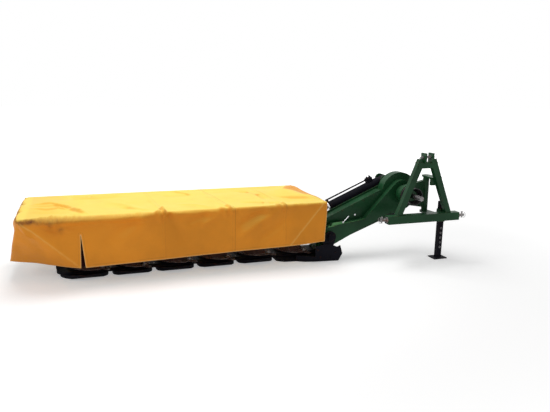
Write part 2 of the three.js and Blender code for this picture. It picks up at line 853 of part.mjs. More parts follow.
function middleBeam() {
  const beam = block(BOW_OUTER_X - 22, BEAM_INNER_X, BEAM_FRONT, BEAM_FRONT + BEAM_SIDE, beamBottom, beamTop);
  const ear = wrap([
    ...ring(LID_AXIS_Y, frameZ, 10, 16),
    [BEAM_FRONT + 2, frameZ - 16],
    [BEAM_FRONT + 2, frameZ - 34],
  ]);
  const lugs = BOW_X.flatMap((x) => [plateYZ(ear, x - 34, x - 26), plateYZ(ear, x + 26, x + 34)]);
  const pins = BOW_X.map((x) =>
    bar([x - 38, LID_AXIS_Y, frameZ], [x + 38, LID_AXIS_Y, frameZ], 6, 14),
  );
  return union(beam, ...lugs, ...pins);
}

function lidFrame() {
  const front = rail(
    [
      [BOW_X[0], railFront, frameZ],
      [COVER_INNER_X - 8, railFront, frameZ],
    ],
    TUBE_R,
  );
  const bows = BOW_X.map((x) => bar([x, railFront, frameZ], [x, LID_AXIS_Y - 2, frameZ], 12, 14));
  const knuckles = BOW_X.map((x) =>
    bar([x - 21, LID_AXIS_Y, frameZ], [x + 21, LID_AXIS_Y, frameZ], 13, 18),
  );
  const bores = BOW_X.map((x) =>
    bar([x - 30, LID_AXIS_Y, frameZ], [x + 30, LID_AXIS_Y, frameZ], 6 + PIN_FIT, 14),
  );
  const shape = union(front, ...bows, ...knuckles);
  return shape.subtract(union(...bores));
}

function rearFrame() {
  const y0 = BEAM_FRONT + BEAM_SIDE + SEAT;
  const back = rail(
    [
      [BOW_X[0], railRear, frameZ],
      [COVER_INNER_X - 8, railRear, frameZ],
    ],
    TUBE_R,
  );
  const bows = BOW_X.map((x) => bar([x, y0, frameZ], [x, railRear, frameZ], TUBE_R, 14));
  return union(back, ...bows);
}

function innerPost() {
  const foot = block(-1000, -890, 700 + SEAT, 716, 190, 330);
  const riser = plateYZ(
    [
      [700 + SEAT, 240],
      [716, 190],
      [740, 190],
      [BEAM_FRONT + 34, beamBottom - 60],
      [BEAM_FRONT + 34, beamBottom - SEAT],
      [BEAM_FRONT + 4, beamBottom - SEAT],
      [BEAM_FRONT - 6, beamBottom - 60],
      [700 + SEAT, 330],
    ],
    -998,
    -974,
  );
  const cap = block(
    -1040,
    BEAM_INNER_X,
    BEAM_FRONT + 2,
    BEAM_FRONT + BEAM_SIDE - 2,
    beamBottom - 10,
    beamBottom - SEAT,
  );
  return union(foot, riser, cap);
}

function outerPost() {
  const z0 = BAR_TOP - 4 + SEAT;
  const x = POST_OUTER_X;
  const foot = block(x, x + 52, 742, 800, z0, z0 + 12);
  const post = block(x + 6, x + 46, 752, 792, z0, 420);
  const reach = plateXZ(
    [
      [x + 6, 380],
      [x + 46, 380],
      [x - 114, beamBottom - SEAT],
      [x - 164, beamBottom - SEAT],
    ],
    752,
    792,
  );
  const capEnd = BEAM_FRONT + BEAM_SIDE - 4;
  const cap = block(x - 174, x - 104, 752, capEnd, beamBottom - 10, beamBottom - SEAT);
  const ears = [180, 330].map((z) =>
    union(
      block(x - 40, x + 16, 770, 800, z, z + 10),
      plateXY(wrap([...ring(SWATH.x, SWATH.y, 20, 20), [x - 14, 780], [x + 11, 780]]), z, z + 10),
    ),
  );
  const bore = bar([SWATH.x, SWATH.y, 100], [SWATH.x, SWATH.y, 400], 9 + PIN_FIT, 18);
  return union(foot, post, reach, cap, ...ears).subtract(bore);
}

place("middle_beam", middleBeam(), "green");
place("rear_frame", rearFrame(), "green");
place("lid_frame", lidFrame(), "green");
place("inner_post", innerPost(), "green");
place("outer_post", outerPost(), "green");

// ---------------------------------------------------------------- cover skins
const FRONT_EDGE_Y = LID_AXIS_Y - 9;
const underTop = COVER_TOP - SKIN;

/** Closed skin between an outer and an inner net of points that share the same faces. */
function skin(points, faces) {
  const outer = points.map((p) => p.slice(0, 3));
  const inner = points.map((p) => [p[0] + p[3], p[1] + p[4], p[2] + p[5]]);
  const count = points.length;
  const index = [];
  const edges = new Map();
  faces.forEach((face) => {
    for (let k = 1; k < face.length - 1; k += 1) {
      index.push(face[0], face[k], face[k + 1]);
      index.push(face[0] + count, face[k + 1] + count, face[k] + count);
    }
    face.forEach((a, k) => {
      const b = face[(k + 1) % face.length];
      edges.set(`${a} ${b}`, [a, b]);
    });
  });
  edges.forEach(([a, b]) => {
    if (!edges.has(`${b} ${a}`)) {
      index.push(b, a, a + count, b, a + count, b + count);
    }
  });
  const geometry = new THREE.BufferGeometry();
  const flat = new Float32Array([...outer, ...inner].flat());
  geometry.setAttribute("position", new THREE.BufferAttribute(flat, 3));
  geometry.setIndex(index);
  return body(geometry);
}

// Each corner is x, y, z and the step to the inner side of the cloth.
function coverFront() {
  const corners = [
    [COVER_OUTER_X, COVER_FRONT, COVER_TOP, SKIN, SKIN, -SKIN],
    [SLIT_X, COVER_FRONT, SLIT_TOP, 0, SKIN, 0],
    [SLIT_X - 20, COVER_FRONT, HEM_OUTER, 3, SKIN, 0],
    [SLIT_X + 14, COVER_FRONT, HEM_OUTER, 0, SKIN, 0],
    [COVER_INNER_X, COVER_FRONT, HEM_INNER, 0, SKIN, 0],
    [COVER_INNER_X, COVER_FRONT, COVER_TOP, 0, SKIN, -SKIN],
    [COVER_INNER_X, FRONT_EDGE_Y, COVER_TOP, 0, 0, -SKIN],
    [COVER_OUTER_X, FRONT_EDGE_Y, COVER_TOP, SKIN, 0, -SKIN],
    [COVER_FLARE_X, FLARE_Y, HEM_OUTER - 5, SKIN, 1, 0],
    [COVER_FLARE_X, FRONT_EDGE_Y, HEM_OUTER - 2, SKIN, 0, 0],
  ];
  return skin(corners, [
    [0, 5, 6, 7],
    [0, 2, 1],
    [0, 1, 5],
    [1, 3, 5],
    [3, 4, 5],
    [0, 8, 2],
    [0, 7, 8],
    [7, 9, 8],
  ]);
}

function coverRear() {
  const corners = [
    [COVER_OUTER_X, BEAM_FRONT, COVER_TOP, SKIN, 0, -SKIN],
    [COVER_INNER_X, BEAM_FRONT, COVER_TOP, 0, 0, -SKIN],
    [COVER_INNER_X, COVER_REAR, COVER_TOP, 0, -SKIN, -SKIN],
    [COVER_OUTER_X, COVER_REAR, COVER_TOP, SKIN, -SKIN, -SKIN],
    [COVER_FLARE_X, BEAM_FRONT, HEM_OUTER - 2, SKIN, 0, 0],
    [COVER_FLARE_X + 38, COVER_REAR, HEM_REAR, SKIN, -SKIN, 0],
    [COVER_INNER_X, COVER_REAR, HEM_REAR, 0, -SKIN, 0],
  ];
  return skin(corners, [
    [0, 1, 2, 3],
    [0, 3, 5, 4],
    [3, 2, 6, 5],
  ]);
}

place("cover_front", coverFront(), "tarp");
place("cover_rear", coverRear(), "tarp");

// ---------------------------------------------------------------- swath board
function swathBoard() {
  const pin = bar([SWATH.x, SWATH.y, 172], [SWATH.x, SWATH.y, 350], 9, 18);
  const tube = bar([SWATH.x, SWATH.y, 196], [SWATH.x, SWATH.y, 324], 17, 20);
  const board = plateXY(
    [
      [SWATH.x - 6, SWATH.y + 12],
      [SWATH.x + 6, SWATH.y + 12],
      [SWATH.x + 126, SWATH.y + 470],
      [SWATH.x + 114, SWATH.y + 474],
    ],
    60,
    330,
  );
  const trim = plateYZ(
    [
      [SWATH.y - 60, 50],
      [SWATH.y + 10, 50],
      [SWATH.y + 10, 172],
      [SWATH.y - 60, 172],
    ],
    SWATH.x - 80,
    SWATH.x + 200,
  );
  const corner = plateYZ(
    [
      [SWATH.y + 420, 40],
      [SWATH.y + 500, 40],
      [SWATH.y + 500, 190],
    ],
    SWATH.x - 80,
    SWATH.x + 200,
  );
  const slice = bar([SWATH.x, SWATH.y, 165], [SWATH.x, SWATH.y, 355], 27, 20);
  const plate = board.subtract(trim).subtract(corner).subtract(slice);
  const bridge = block(SWATH.x - 5, SWATH.x + 7, SWATH.y + 8, SWATH.y + 40, 200, 320);
  return union(pin, tube, plate, bridge);
}

place("swath_board", swathBoard(), "board");

// ---------------------------------------------------------------- bottom centre to the origin
const box = new THREE.Box3().setFromObject(group);
const shift = new THREE.Vector3((box.min.x + box.max.x) / -2, (box.min.y + box.max.y) / -2, 0);
group.children.forEach((item) => item.geometry.translate(shift.x, shift.y, shift.z - box.min.z));

export default group;
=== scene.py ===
"""Looks of a rear-mounted disc mower parked under its tarpaulin cover.

Lengths are metres. Places are written from the hitch point: X = 0 is the middle plane of the hitch,
Y = 0 the axis of the lower hitch pins and Z = 0 the ground. at() moves them into the frame.
"""

import json
import logging
import math
from dataclasses import dataclass, field
from enum import StrEnum
from typing import Callable, Sequence

import bpy
import numpy as np
from mathutils import Matrix, Vector, noise
from mathutils.geometry import delaunay_2d_cdt


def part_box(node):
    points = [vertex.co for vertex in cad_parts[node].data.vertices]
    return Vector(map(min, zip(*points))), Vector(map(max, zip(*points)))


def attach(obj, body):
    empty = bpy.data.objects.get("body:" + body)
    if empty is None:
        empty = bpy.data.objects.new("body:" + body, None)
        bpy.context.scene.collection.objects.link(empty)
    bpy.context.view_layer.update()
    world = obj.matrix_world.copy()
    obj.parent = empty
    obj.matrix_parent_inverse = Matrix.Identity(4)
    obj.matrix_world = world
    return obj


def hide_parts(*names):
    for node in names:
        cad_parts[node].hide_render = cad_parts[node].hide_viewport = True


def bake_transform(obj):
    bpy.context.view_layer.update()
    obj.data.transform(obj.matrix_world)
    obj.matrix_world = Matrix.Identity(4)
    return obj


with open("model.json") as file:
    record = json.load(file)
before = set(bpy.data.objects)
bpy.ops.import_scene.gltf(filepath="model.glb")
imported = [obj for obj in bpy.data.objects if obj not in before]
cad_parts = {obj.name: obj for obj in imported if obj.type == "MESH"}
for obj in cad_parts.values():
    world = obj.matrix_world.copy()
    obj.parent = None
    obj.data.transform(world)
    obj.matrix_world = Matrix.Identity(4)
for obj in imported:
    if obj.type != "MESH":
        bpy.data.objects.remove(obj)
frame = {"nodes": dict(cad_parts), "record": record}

log = logging.getLogger("disc_mower")
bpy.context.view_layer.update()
HITCH_BAR_Y = 0.030  # the hitch bar's axis behind the hitch point

_low, _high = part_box("hitch_bar")
HITCH = Vector(((_low.x + _high.x) / 2, (_low.y + _high.y) / 2 - HITCH_BAR_Y, 0.0))

Point = Sequence[float]
HINGE = (-0.880, 0.250)  # X and Z of the hinge between arm and bar
DISC_1_X, DISC_PITCH, DISC_Y = -3.200, 0.400, 0.600  # first disc's X, spacing, and Y of all
CREASE_X, CREASE_Z = -1.348, 0.225  # foot of the storage crease at the hanging corner
BAR_TOP = 0.062  # Z of the cutter bar's upper face


def at(x: float, y: float, z: float) -> Vector:
    """Return a place given from the hitch point as a point of the frame."""
    return HITCH + Vector((x, y, z))


class Body(StrEnum):
    """CAD bodies that pieces ride on."""

    HEADSTOCK = "headstock"
    STAND = "stand"
    ARM = "arm"
    CYLINDER = "cylinder"
    BAR = "bar"
    LID = "cover_lid"
    SWATH = "swath_board"


# ---------------------------------------------------------------- shader building blocks
class Graph:
    """A node tree that is being filled."""

    def __init__(self, tree: bpy.types.NodeTree) -> None:
        """Take hold of the tree."""
        self.tree = tree

    def add(self, kind: str, inputs: dict | None = None, **settings: object) -> bpy.types.Node:
        """Add one node.

        Args:
            kind: Blender's name of the node, without its "ShaderNode".
            inputs: values or sockets for its input sockets, by name or number.
            settings: properties of the node itself.

        Returns:
            The node.
        """
        node = self.tree.nodes.new(kind if kind.startswith("Node") else "ShaderNode" + kind)
        for name, value in settings.items():
            setattr(node, name, value)
        self.give(node, inputs or {})
        return node

    def give(self, node: bpy.types.Node, inputs: dict) -> None:
        """Give a node's inputs their values or sockets, by name or number."""
        for key, value in inputs.items():
            if isinstance(value, bpy.types.NodeSocket):
                self.tree.links.new(value, node.inputs[key])
            else:
                node.inputs[key].default_value = value

    def math(self, how: str, a: object, b: object = 0.0, clamp: bool = False) -> bpy.types.NodeSocket:
        """Return the result of one sum of two values or sockets."""
        node = self.add("Math", {0: a, 1: b}, operation=how, use_clamp=clamp)
        return node.outputs[0]

    def ramp(self, value: object, low: float, high: float, to: tuple = (0.0, 1.0)) -> bpy.types.NodeSocket:
        """Return a value stretched smoothly from low..high to the range given."""
        given = {"Value": value, "From Min": low, "From Max": high, "To Min": to[0], "To Max": to[1]}
        node = self.add("MapRange", given, interpolation_type="SMOOTHSTEP")
        return node.outputs[0]

    def mix(self, share: object, a: object, b: object) -> bpy.types.NodeSocket:
        """Return colour a turning into colour b as share goes from 0 to 1."""
        node = self.add("Mix", {0: share, 6: a, 7: b}, data_type="RGBA")
        return node.outputs[2]

    def noise(self, where: object, scale: float, detail: float = 4.0) -> bpy.types.NodeSocket:
        """Return a smooth random value over the surface."""
        node = self.add("TexNoise", {"Vector": where, "Scale": scale, "Detail": detail})
        return node.outputs[0]

    def bump(self, height: object, strength: float, distance: float) -> bpy.types.NodeSocket:
        """Return the surface's normal bent by a height."""
        node = self.add("Bump", {"Height": height, "Strength": strength, "Distance": distance})
        return node.outputs[0]

    def close(self, result: bpy.types.NodeSocket) -> bpy.types.NodeTree:
        """Join the result to the output of a node group and return the group."""
        self.add("NodeGroupOutput", {0: result})
        return self.tree


def rgba(colour: Point) -> tuple:
    """Return a colour with full alpha."""
    return (*colour, 1.0)


def start_group(name: str, output: str, **inputs: float) -> tuple[Graph, dict]:
    """Start a shader node group with named inputs and one output that varies over the surface.

    Args:
        name: the group's name.
        output: its output's name.
        inputs: the default values of its inputs, besides the coordinates.

    Returns:
        A graph on the group, and its input sockets by name.
    """
    tree = bpy.data.node_groups.new(name, "ShaderNodeTree")
    tree.interface.new_socket("Coords", in_out="INPUT", socket_type="NodeSocketVector")
    for label, value in inputs.items():
        socket = tree.interface.new_socket(label, in_out="INPUT", socket_type="NodeSocketFloat")
        socket.default_value = value
    tree.interface.new_socket(output, in_out="OUTPUT", socket_type="NodeSocketFloat")
    graph = Graph(tree)
    return graph, graph.add("NodeGroupInput").outputs


class Effects:
    """The effects that more than one finish uses, each built once."""

    def __init__(self) -> None:
        """Build every group."""
        self.edge_wear = self._edge_wear()
        self.patches = self._patches()
        self.settled = self._settled()
        self.grain = self._grain()

    def _edge_wear(self) -> bpy.types.NodeTree:
        """Build a mask of rubbed outer edges."""
        g, given = start_group("edge wear", "Mask", Width=0.004, Amount=0.5)
        rounded = g.add("Bevel", {"Radius": given["Width"]}, samples=4).outputs[0]
        flat = g.add("NewGeometry").outputs["Normal"]
        facing = g.add("VectorMath", {0: rounded, 1: flat}, operation="DOT_PRODUCT")
        edge = g.ramp(facing.outputs["Value"], 0.995, 0.86)
        grain = g.noise(given["Coords"], 34.0, 6.0)
        broken = g.math("ADD", grain, g.math("SUBTRACT", given["Amount"], 0.5))
        return g.close(g.math("MULTIPLY", edge, g.ramp(broken, 0.46, 0.62)))

    def _patches(self) -> bpy.types.NodeTree:
        """Build a mask of loose patches, such as rust or dried mud."""
        g, given = start_group("patches", "Mask", Scale=6.0, Cover=0.4)
        wide = g.noise(given["Coords"], given["Scale"], 8.0)
        fine = g.noise(given["Coords"], g.math("MULTIPLY", given["Scale"], 7.0), 5.0)
        both = g.math("ADD", g.math("MULTIPLY", wide, 0.75), g.math("MULTIPLY", fine, 0.25))
        level = g.math("ADD", both, g.math("SUBTRACT", given["Cover"], 0.5))
        return g.close(g.ramp(level, 0.48, 0.58))

    def _settled(self) -> bpy.types.NodeTree:
        """Build a mask of dust that lies on faces looking up."""
        g, given = start_group("settled dust", "Mask", Amount=0.5)
        up = g.add("SeparateXYZ", {0: g.add("NewGeometry").outputs["Normal"]}).outputs[2]
        lies = g.ramp(up, 0.0, 0.9)
        cloudy = g.ramp(g.noise(given["Coords"], 9.0, 7.0), 0.3, 0.7)
        return g.close(g.math("MULTIPLY", g.math("MULTIPLY", lies, cloudy), given["Amount"]))

    def _grain(self) -> bpy.types.NodeTree:
        """Build a height made of broad dents and fine grain."""
        g, given = start_group("grain", "Height", Scale=120.0, Dents=0.4)
        fine = g.noise(given["Coords"], given["Scale"], 3.0)
        broad = g.noise(given["Coords"], 7.0, 2.0)
        return g.close(g.math("ADD", fine, g.math("MULTIPLY", broad, given["Dents"])))


EFFECTS = Effects()


def new_material(name: str) -> tuple[bpy.types.Material, Graph, bpy.types.Node]:
    """Start a material.

    Args:
        name: the material's name.

    Returns:
        The material, a graph on it, and its Principled shader, already joined to the output.
    """
    made = bpy.data.materials.new(name)
    made.use_nodes = True
    made.node_tree.nodes.clear()
    g = Graph(made.node_tree)
    shader = g.add("BsdfPrincipled")
    g.add("OutputMaterial", {0: shader.outputs[0]})
    return made, g, shader


def place_group(g: Graph, tree: bpy.types.NodeTree, **inputs: object) -> bpy.types.NodeSocket:
    """Place a shared effect in a material and return its output."""
    given = {name.replace("_", " "): value for name, value in inputs.items()}
    return g.add("Group", given, node_tree=tree).outputs[0]


@dataclass(frozen=True)
class Paint:
    """Old machine paint with rubbed edges, rust spots and dust."""

    name: str
    colour: Point
    slot: str
    roughness: float = 0.38
    wear: float = 0.5
    rust: float = 0.3
    dust: float = 0.35
    mud: float = 0.0
    dust_colour: Point = (0.25, 0.22, 0.17)
    coat: float = 0.25
    specular: float = 0.5

    def build(self) -> bpy.types.Material:
        """Build the material."""
        made, g, shader = new_material(self.name)
        where = g.add("TexCoord").outputs["Object"]
        tone = g.ramp(g.noise(where, 3.0, 5.0), 0.3, 0.7)
        darker = tuple(c * 0.72 for c in self.colour)
        lighter = tuple(min(1.0, c * 1.22 + 0.004) for c in self.colour)
        paint = g.mix(tone, rgba(darker), rgba(lighter))
        rust_tone = g.mix(g.noise(where, 40.0, 4.0), (0.06, 0.022, 0.012, 1), (0.21, 0.075, 0.028, 1))
        spots = place_group(g, EFFECTS.patches, Coords=where, Scale=11.0, Cover=self.rust)
        worn = place_group(g, EFFECTS.edge_wear, Coords=where, Width=0.0045, Amount=self.wear)
        bare = g.math("MAXIMUM", spots, g.math("MULTIPLY", worn, 0.85))
        painted = g.mix(bare, paint, rust_tone)
        dust = place_group(g, EFFECTS.settled, Coords=where, Amount=self.dust)
        mud = place_group(g, EFFECTS.patches, Coords=where, Scale=5.0, Cover=self.mud)
        low = g.ramp(g.add("SeparateXYZ", {0: where}).outputs[2], 0.16, 0.02)
        soiled = g.math("MAXIMUM", dust, g.math("MULTIPLY", g.math("MULTIPLY", mud, low), 0.8))
        colour = g.mix(soiled, painted, rgba(self.dust_colour))
        dull = g.math("MAXIMUM", bare, soiled)
        rough = g.add("MapRange", {"Value": dull, "To Min": self.roughness, "To Max": 0.85}).outputs[0]
        height = place_group(g, EFFECTS.grain, Coords=where, Scale=160.0, Dents=0.6)
        raised = g.math("SUBTRACT", height, g.math("MULTIPLY", bare, 0.5))
        soft_edge = g.add("Bevel", {"Radius": 0.0035}, samples=4)
        bump = g.add(
            "Bump",
            {"Height": raised, "Strength": 0.35, "Distance": 0.0012, "Normal": soft_edge.outputs[0]},
        )
        g.give(shader, {"Base Color": colour, "Roughness": rough, "Normal": bump.outputs[0]})
        g.give(shader, {"Coat Weight": self.coat, "Coat Roughness": 0.25})
        g.give(shader, {"Specular IOR Level": self.specular})
        return made


@dataclass(frozen=True)
class BareSteel:
    """Machined or plated steel, with tarnish and a little rust."""

    name: str
    colour: Point
    slot: str
    roughness: float = 0.3
    rust: float = 0.3

    def build(self) -> bpy.types.Material:
        """Build the material."""
        made, g, shader = new_material(self.name)
        where = g.add("TexCoord").outputs["Object"]
        tarnish = g.ramp(g.noise(where, 22.0, 6.0), 0.35, 0.7)
        steel = g.mix(tarnish, rgba(self.colour), rgba(tuple(c * 0.62 for c in self.colour)))
        rust_tone = g.mix(g.noise(where, 55.0, 4.0), (0.07, 0.025, 0.014, 1), (0.24, 0.09, 0.035, 1))
        rust = place_group(g, EFFECTS.patches, Coords=where, Scale=16.0, Cover=self.rust)
        rough = g.math("ADD", g.math("MULTIPLY", tarnish, 0.18), self.roughness)
        rough = g.math("ADD", rough, g.math("MULTIPLY", rust, 0.45), clamp=True)
        height = place_group(g, EFFECTS.grain, Coords=where, Scale=420.0, Dents=0.1)
        g.give(shader, {"Base Color": g.mix(rust, steel, rust_tone), "Roughness": rough})
        g.give(shader, {"Metallic": g.math("SUBTRACT", 1.0, rust), "Normal": g.bump(height, 0.15, 0.0006)})
        return made


@dataclass(frozen=True)
class RustySteel:
    """Discs and knives that have lost their paint: rust, old paint remains and cut grass film."""

    name: str
    slot: str

    def build(self) -> bpy.types.Material:
        """Build the material."""
        made, g, shader = new_material(self.name)
        where = g.add("TexCoord").outputs["Object"]
        deep = g.mix(g.noise(where, 26.0, 8.0), (0.012, 0.006, 0.008, 1), (0.075, 0.022, 0.013, 1))
        bright = g.mix(g.noise(where, 60.0, 6.0), (0.12, 0.034, 0.016, 1), (0.26, 0.078, 0.030, 1))
        fresh = place_group(g, EFFECTS.patches, Coords=where, Scale=9.0, Cover=0.42)
        colour = g.mix(fresh, deep, bright)
        film = place_group(g, EFFECTS.settled, Coords=where, Amount=0.15)
        colour = g.mix(film, colour, (0.10, 0.085, 0.050, 1))
        rubbed = place_group(g, EFFECTS.edge_wear, Coords=where, Width=0.003, Amount=0.62)
        colour = g.mix(rubbed, colour, (0.30, 0.28, 0.27, 1))
        rough = g.math("SUBTRACT", 0.88, g.math("MULTIPLY", rubbed, 0.5))
        pits = place_group(g, EFFECTS.grain, Coords=where, Scale=210.0, Dents=0.8)
        g.give(shader, {"Base Color": colour, "Roughness": rough})
        g.give(shader, {"Metallic": g.math("MULTIPLY", rubbed, 0.9), "Normal": g.bump(pits, 0.6, 0.0015)})
        return made


@dataclass(frozen=True)
class Moulded:
    """Moulded plastic or rubber with a fine leather grain."""

    name: str
    colour: Point
    slot: str
    roughness: float = 0.55
    specular: float = 0.5

    def build(self) -> bpy.types.Material:
        """Build the material."""
        made, g, shader = new_material(self.name)
        where = g.add("TexCoord").outputs["Object"]
        faded = g.ramp(g.noise(where, 5.0, 4.0), 0.35, 0.75)
        pale = tuple(c * 1.5 + 0.012 for c in self.colour)
        colour = g.mix(faded, rgba(self.colour), rgba(pale))
        dust = place_group(g, EFFECTS.settled, Coords=where, Amount=0.4)
        rough = g.math("ADD", g.math("MULTIPLY", faded, 0.15), self.roughness)
        height = place_group(g, EFFECTS.grain, Coords=where, Scale=700.0, Dents=0.2)
        g.give(shader, {"Base Color": g.mix(dust, colour, (0.24, 0.21, 0.16, 1)), "Roughness": rough})
        g.give(shader, {"Normal": g.bump(height, 0.25, 0.0008), "Specular IOR Level": self.specular})
        return made


@dataclass(frozen=True)
class Tarpaulin:
    """Coated cloth: orange where it hangs, sun-faded yellow on top, with painted light and shade in the
    yellow and a painted highlight on the creases.
    """

    name: str
    slot: str
    seams: tuple
    seam_marks: tuple = (0.35, 1.0, 0.45)
    colour: Point = (0.86, 0.315, 0.026)
    # Yellow of the sun-faded cloth, which also paints the light on the lit top.
    faded_lit_yellow: Point = (0.93, 0.70, 0.125)
    thread: Point = (0.45, 0.19, 0.04)
    soil: Point = (0.22, 0.085, 0.030)

    def build(self) -> bpy.types.Material:
        """Build the material."""
        made, g, shader = new_material(self.name)

        def own(name: str, output: str = "Fac") -> bpy.types.NodeSocket:
            """Return one of the cloth's own stored values."""
            return g.add("Attribute", attribute_name=name).outputs[output]

        cloth = own("cloth", "Vector")
        cloudy = g.ramp(g.noise(cloth, 2.6, 6.0), 0.3, 0.7)
        low = tuple(c * 0.90 for c in self.colour)
        hung = g.mix(cloudy, rgba(low), rgba(tuple(min(1.0, c * 1.07) for c in self.colour)))
        streaky = g.noise(cloth, 7.0, 6.0)
        # Share of the light yellow: sun fading together with painted light and shade.
        sun = g.math("MULTIPLY", own("faded_and_lit"), g.ramp(streaky, 0.1, 0.6, (0.86, 1.0)))
        colour = g.mix(sun, hung, rgba(self.faded_lit_yellow))
        # Painted highlight: a lighter orange line along the storage creases stands in for light on their
        # ridges.
        colour = g.mix(g.math("MULTIPLY", own("crease"), 0.45), colour, (1.0, 0.62, 0.16, 1))
        panel = own("panel")
        threads = g.add("SeparateXYZ", {0: cloth})
        down = g.math("ADD", threads.outputs[1], threads.outputs[2])
        dash = g.math("PINGPONG", down, 0.005)
        stitch = g.ramp(dash, 0.0012, 0.0022)
        line = 0.0
        edge = 0.0
        for seam, plain in zip(self.seams, self.seam_marks):
            away = g.math("ABSOLUTE", g.math("SUBTRACT", panel, seam))
            row = g.ramp(g.math("ABSOLUTE", g.math("SUBTRACT", away, 0.010)), 0.0016, 0.0004)
            line = g.math("MAXIMUM", line, g.math("MULTIPLY", row, plain))
            from_lap = g.math("SUBTRACT", g.math("SUBTRACT", panel, seam), 0.014)
            lap = g.ramp(g.math("ABSOLUTE", from_lap), 0.0030, 0.0006)
            edge = g.math("MAXIMUM", edge, g.math("MULTIPLY", lap, plain))
        hem = own("hem")
        from_row = g.math("ABSOLUTE", g.math("SUBTRACT", hem, 0.021))
        line = g.math("MAXIMUM", line, g.ramp(from_row, 0.0018, 0.0005))
        sewn = g.math("MULTIPLY", line, stitch)
        colour = g.mix(g.math("MULTIPLY", sewn, 0.75), colour, rgba(self.thread))
        colour = g.mix(g.math("MULTIPLY", edge, 0.55), colour, rgba(tuple(c * 0.55 for c in self.colour)))
        lip = g.ramp(hem, 0.009, 0.004)
        colour = g.mix(g.math("MULTIPLY", lip, 0.60), colour, (1.0, 0.66, 0.28, 1))
        blotchy = g.ramp(g.noise(cloth, 24.0, 8.0), 0.3, 0.72, (0.45, 1.1))
        dirt = g.math("MULTIPLY", own("soil"), blotchy, clamp=True)
        colour = g.mix(dirt, colour, rgba(self.soil))
        rough = g.math("ADD", g.math("MULTIPLY", cloudy, 0.1), 0.46)
        rough = g.math("ADD", rough, g.math("MULTIPLY", dirt, 0.3), clamp=True)
        weft = g.math("SINE", g.math("MULTIPLY", threads.outputs[0], 4200.0))
        warp = g.math("SINE", g.math("MULTIPLY", down, 4200.0))
        weave = g.math("MULTIPLY", g.math("MULTIPLY", weft, warp), 0.10)
        crumple = g.math("MULTIPLY", g.noise(cloth, 34.0, 5.0), 2.2)
        sunk = g.math("ADD", g.math("MULTIPLY", sewn, -0.8), g.math("MULTIPLY", edge, -0.5))
        height = g.math("ADD", g.math("ADD", weave, crumple), sunk)
        g.give(shader, {"Base Color": colour, "Roughness": rough, "Normal": g.bump(height, 0.5, 0.0016)})
        g.give(shader, {"Specular IOR Level": 0.14})
        return made


# ---------------------------------------------------------------- mesh helpers
def mesh_object(name: str, points: np.ndarray, faces: Sequence, smooth: bool = True) -> bpy.types.Object:
    """Make an object from points and faces.

    Args:
        name: the piece's name.
        points: its vertices in the frame.
        faces: its faces as vertex numbers.
        smooth: True shades it smooth.

    Returns:
        The object, linked to the scene.
    """
    mesh = bpy.data.meshes.new(name)
    mesh.from_pydata([tuple(p) for p in points], [], [tuple(f) for f in faces])
    mesh.update()
    mesh.polygons.foreach_set("use_smooth", [smooth] * len(mesh.polygons))
    made = bpy.data.objects.new(name, mesh)
    bpy.context.scene.collection.objects.link(made)
    return made


def unit(v: np.ndarray) -> np.ndarray:
    """Return vectors scaled to length 1."""
    return v / np.maximum(np.linalg.norm(v, axis=-1, keepdims=True), 1e-12)


def tile(corners: Sequence[Point], step: float) -> tuple[np.ndarray, np.ndarray]:
    """Fill a flat polygon with even triangles.

    Args:
        corners: its corners, counter-clockwise from outside.
        step: the triangles' side.

    Returns:
        The points and the triangles.
    """
    c = np.array(corners, float)
    nxt = np.roll(c, -1, 0)
    normal = unit(np.cross(c - c.mean(0), nxt - c.mean(0)).sum(0))
    first = unit(nxt[0] - c[0])
    second = np.cross(normal, first)
    rim = []
    for a, b in zip(c, nxt):
        n = max(1, round(float(np.linalg.norm(b - a)) / step))
        rim.extend(a + (b - a) * k / n for k in range(n))
    rim = np.array(rim)
    flat = np.stack([(rim - c[0]) @ first, (rim - c[0]) @ second], 1)
    low, high = flat.min(0), flat.max(0)
    rows = np.arange(low[1], high[1], step * 0.866)
    grid = [
        (x + (step / 2 if i % 2 else 0.0), y)
        for i, y in enumerate(rows)
        for x in np.arange(low[0], high[0], step)
    ]
    grid = np.array(grid)
    a2 = np.stack([(c - c[0]) @ first, (c - c[0]) @ second], 1)
    inside = np.zeros(len(grid), bool)
    near = np.full(len(grid), 9.0)
    for p, q in zip(a2, np.roll(a2, -1, 0)):
        crosses = (p[1] > grid[:, 1]) != (q[1] > grid[:, 1])
        run = (q[0] - p[0]) * (grid[:, 1] - p[1]) / ((q[1] - p[1]) or 1e-12) + p[0]
        inside ^= crosses & (grid[:, 0] < run)
        d = q - p
        t = np.clip(((grid - p) @ d) / (d @ d), 0, 1)
        near = np.minimum(near, np.linalg.norm(grid - p - t[:, None] * d, axis=1))
    grid = grid[inside & (near > 0.55 * step)]
    everything = np.concatenate([flat, grid]) if len(grid) else flat
    loop = [(i, (i + 1) % len(flat)) for i in range(len(flat))]
    out = delaunay_2d_cdt([Vector(p) for p in everything], loop, [], 1, 1e-6)
    uv = np.array([tuple(p) for p in out[0]])
    points = c[0] + uv[:, :1] * first + uv[:, 1:2] * second
    return points, np.array([f for f in out[2] if len(f) == 3])


def vertex_normals(points: np.ndarray, tris: np.ndarray) -> np.ndarray:
    """Return the smooth normal at each vertex."""
    face = np.cross(points[tris[:, 1]] - points[tris[:, 0]], points[tris[:, 2]] - points[tris[:, 0]])
    total = np.zeros_like(points)
    for k in range(3):
        np.add.at(total, tris[:, k], face)
    return unit(total)


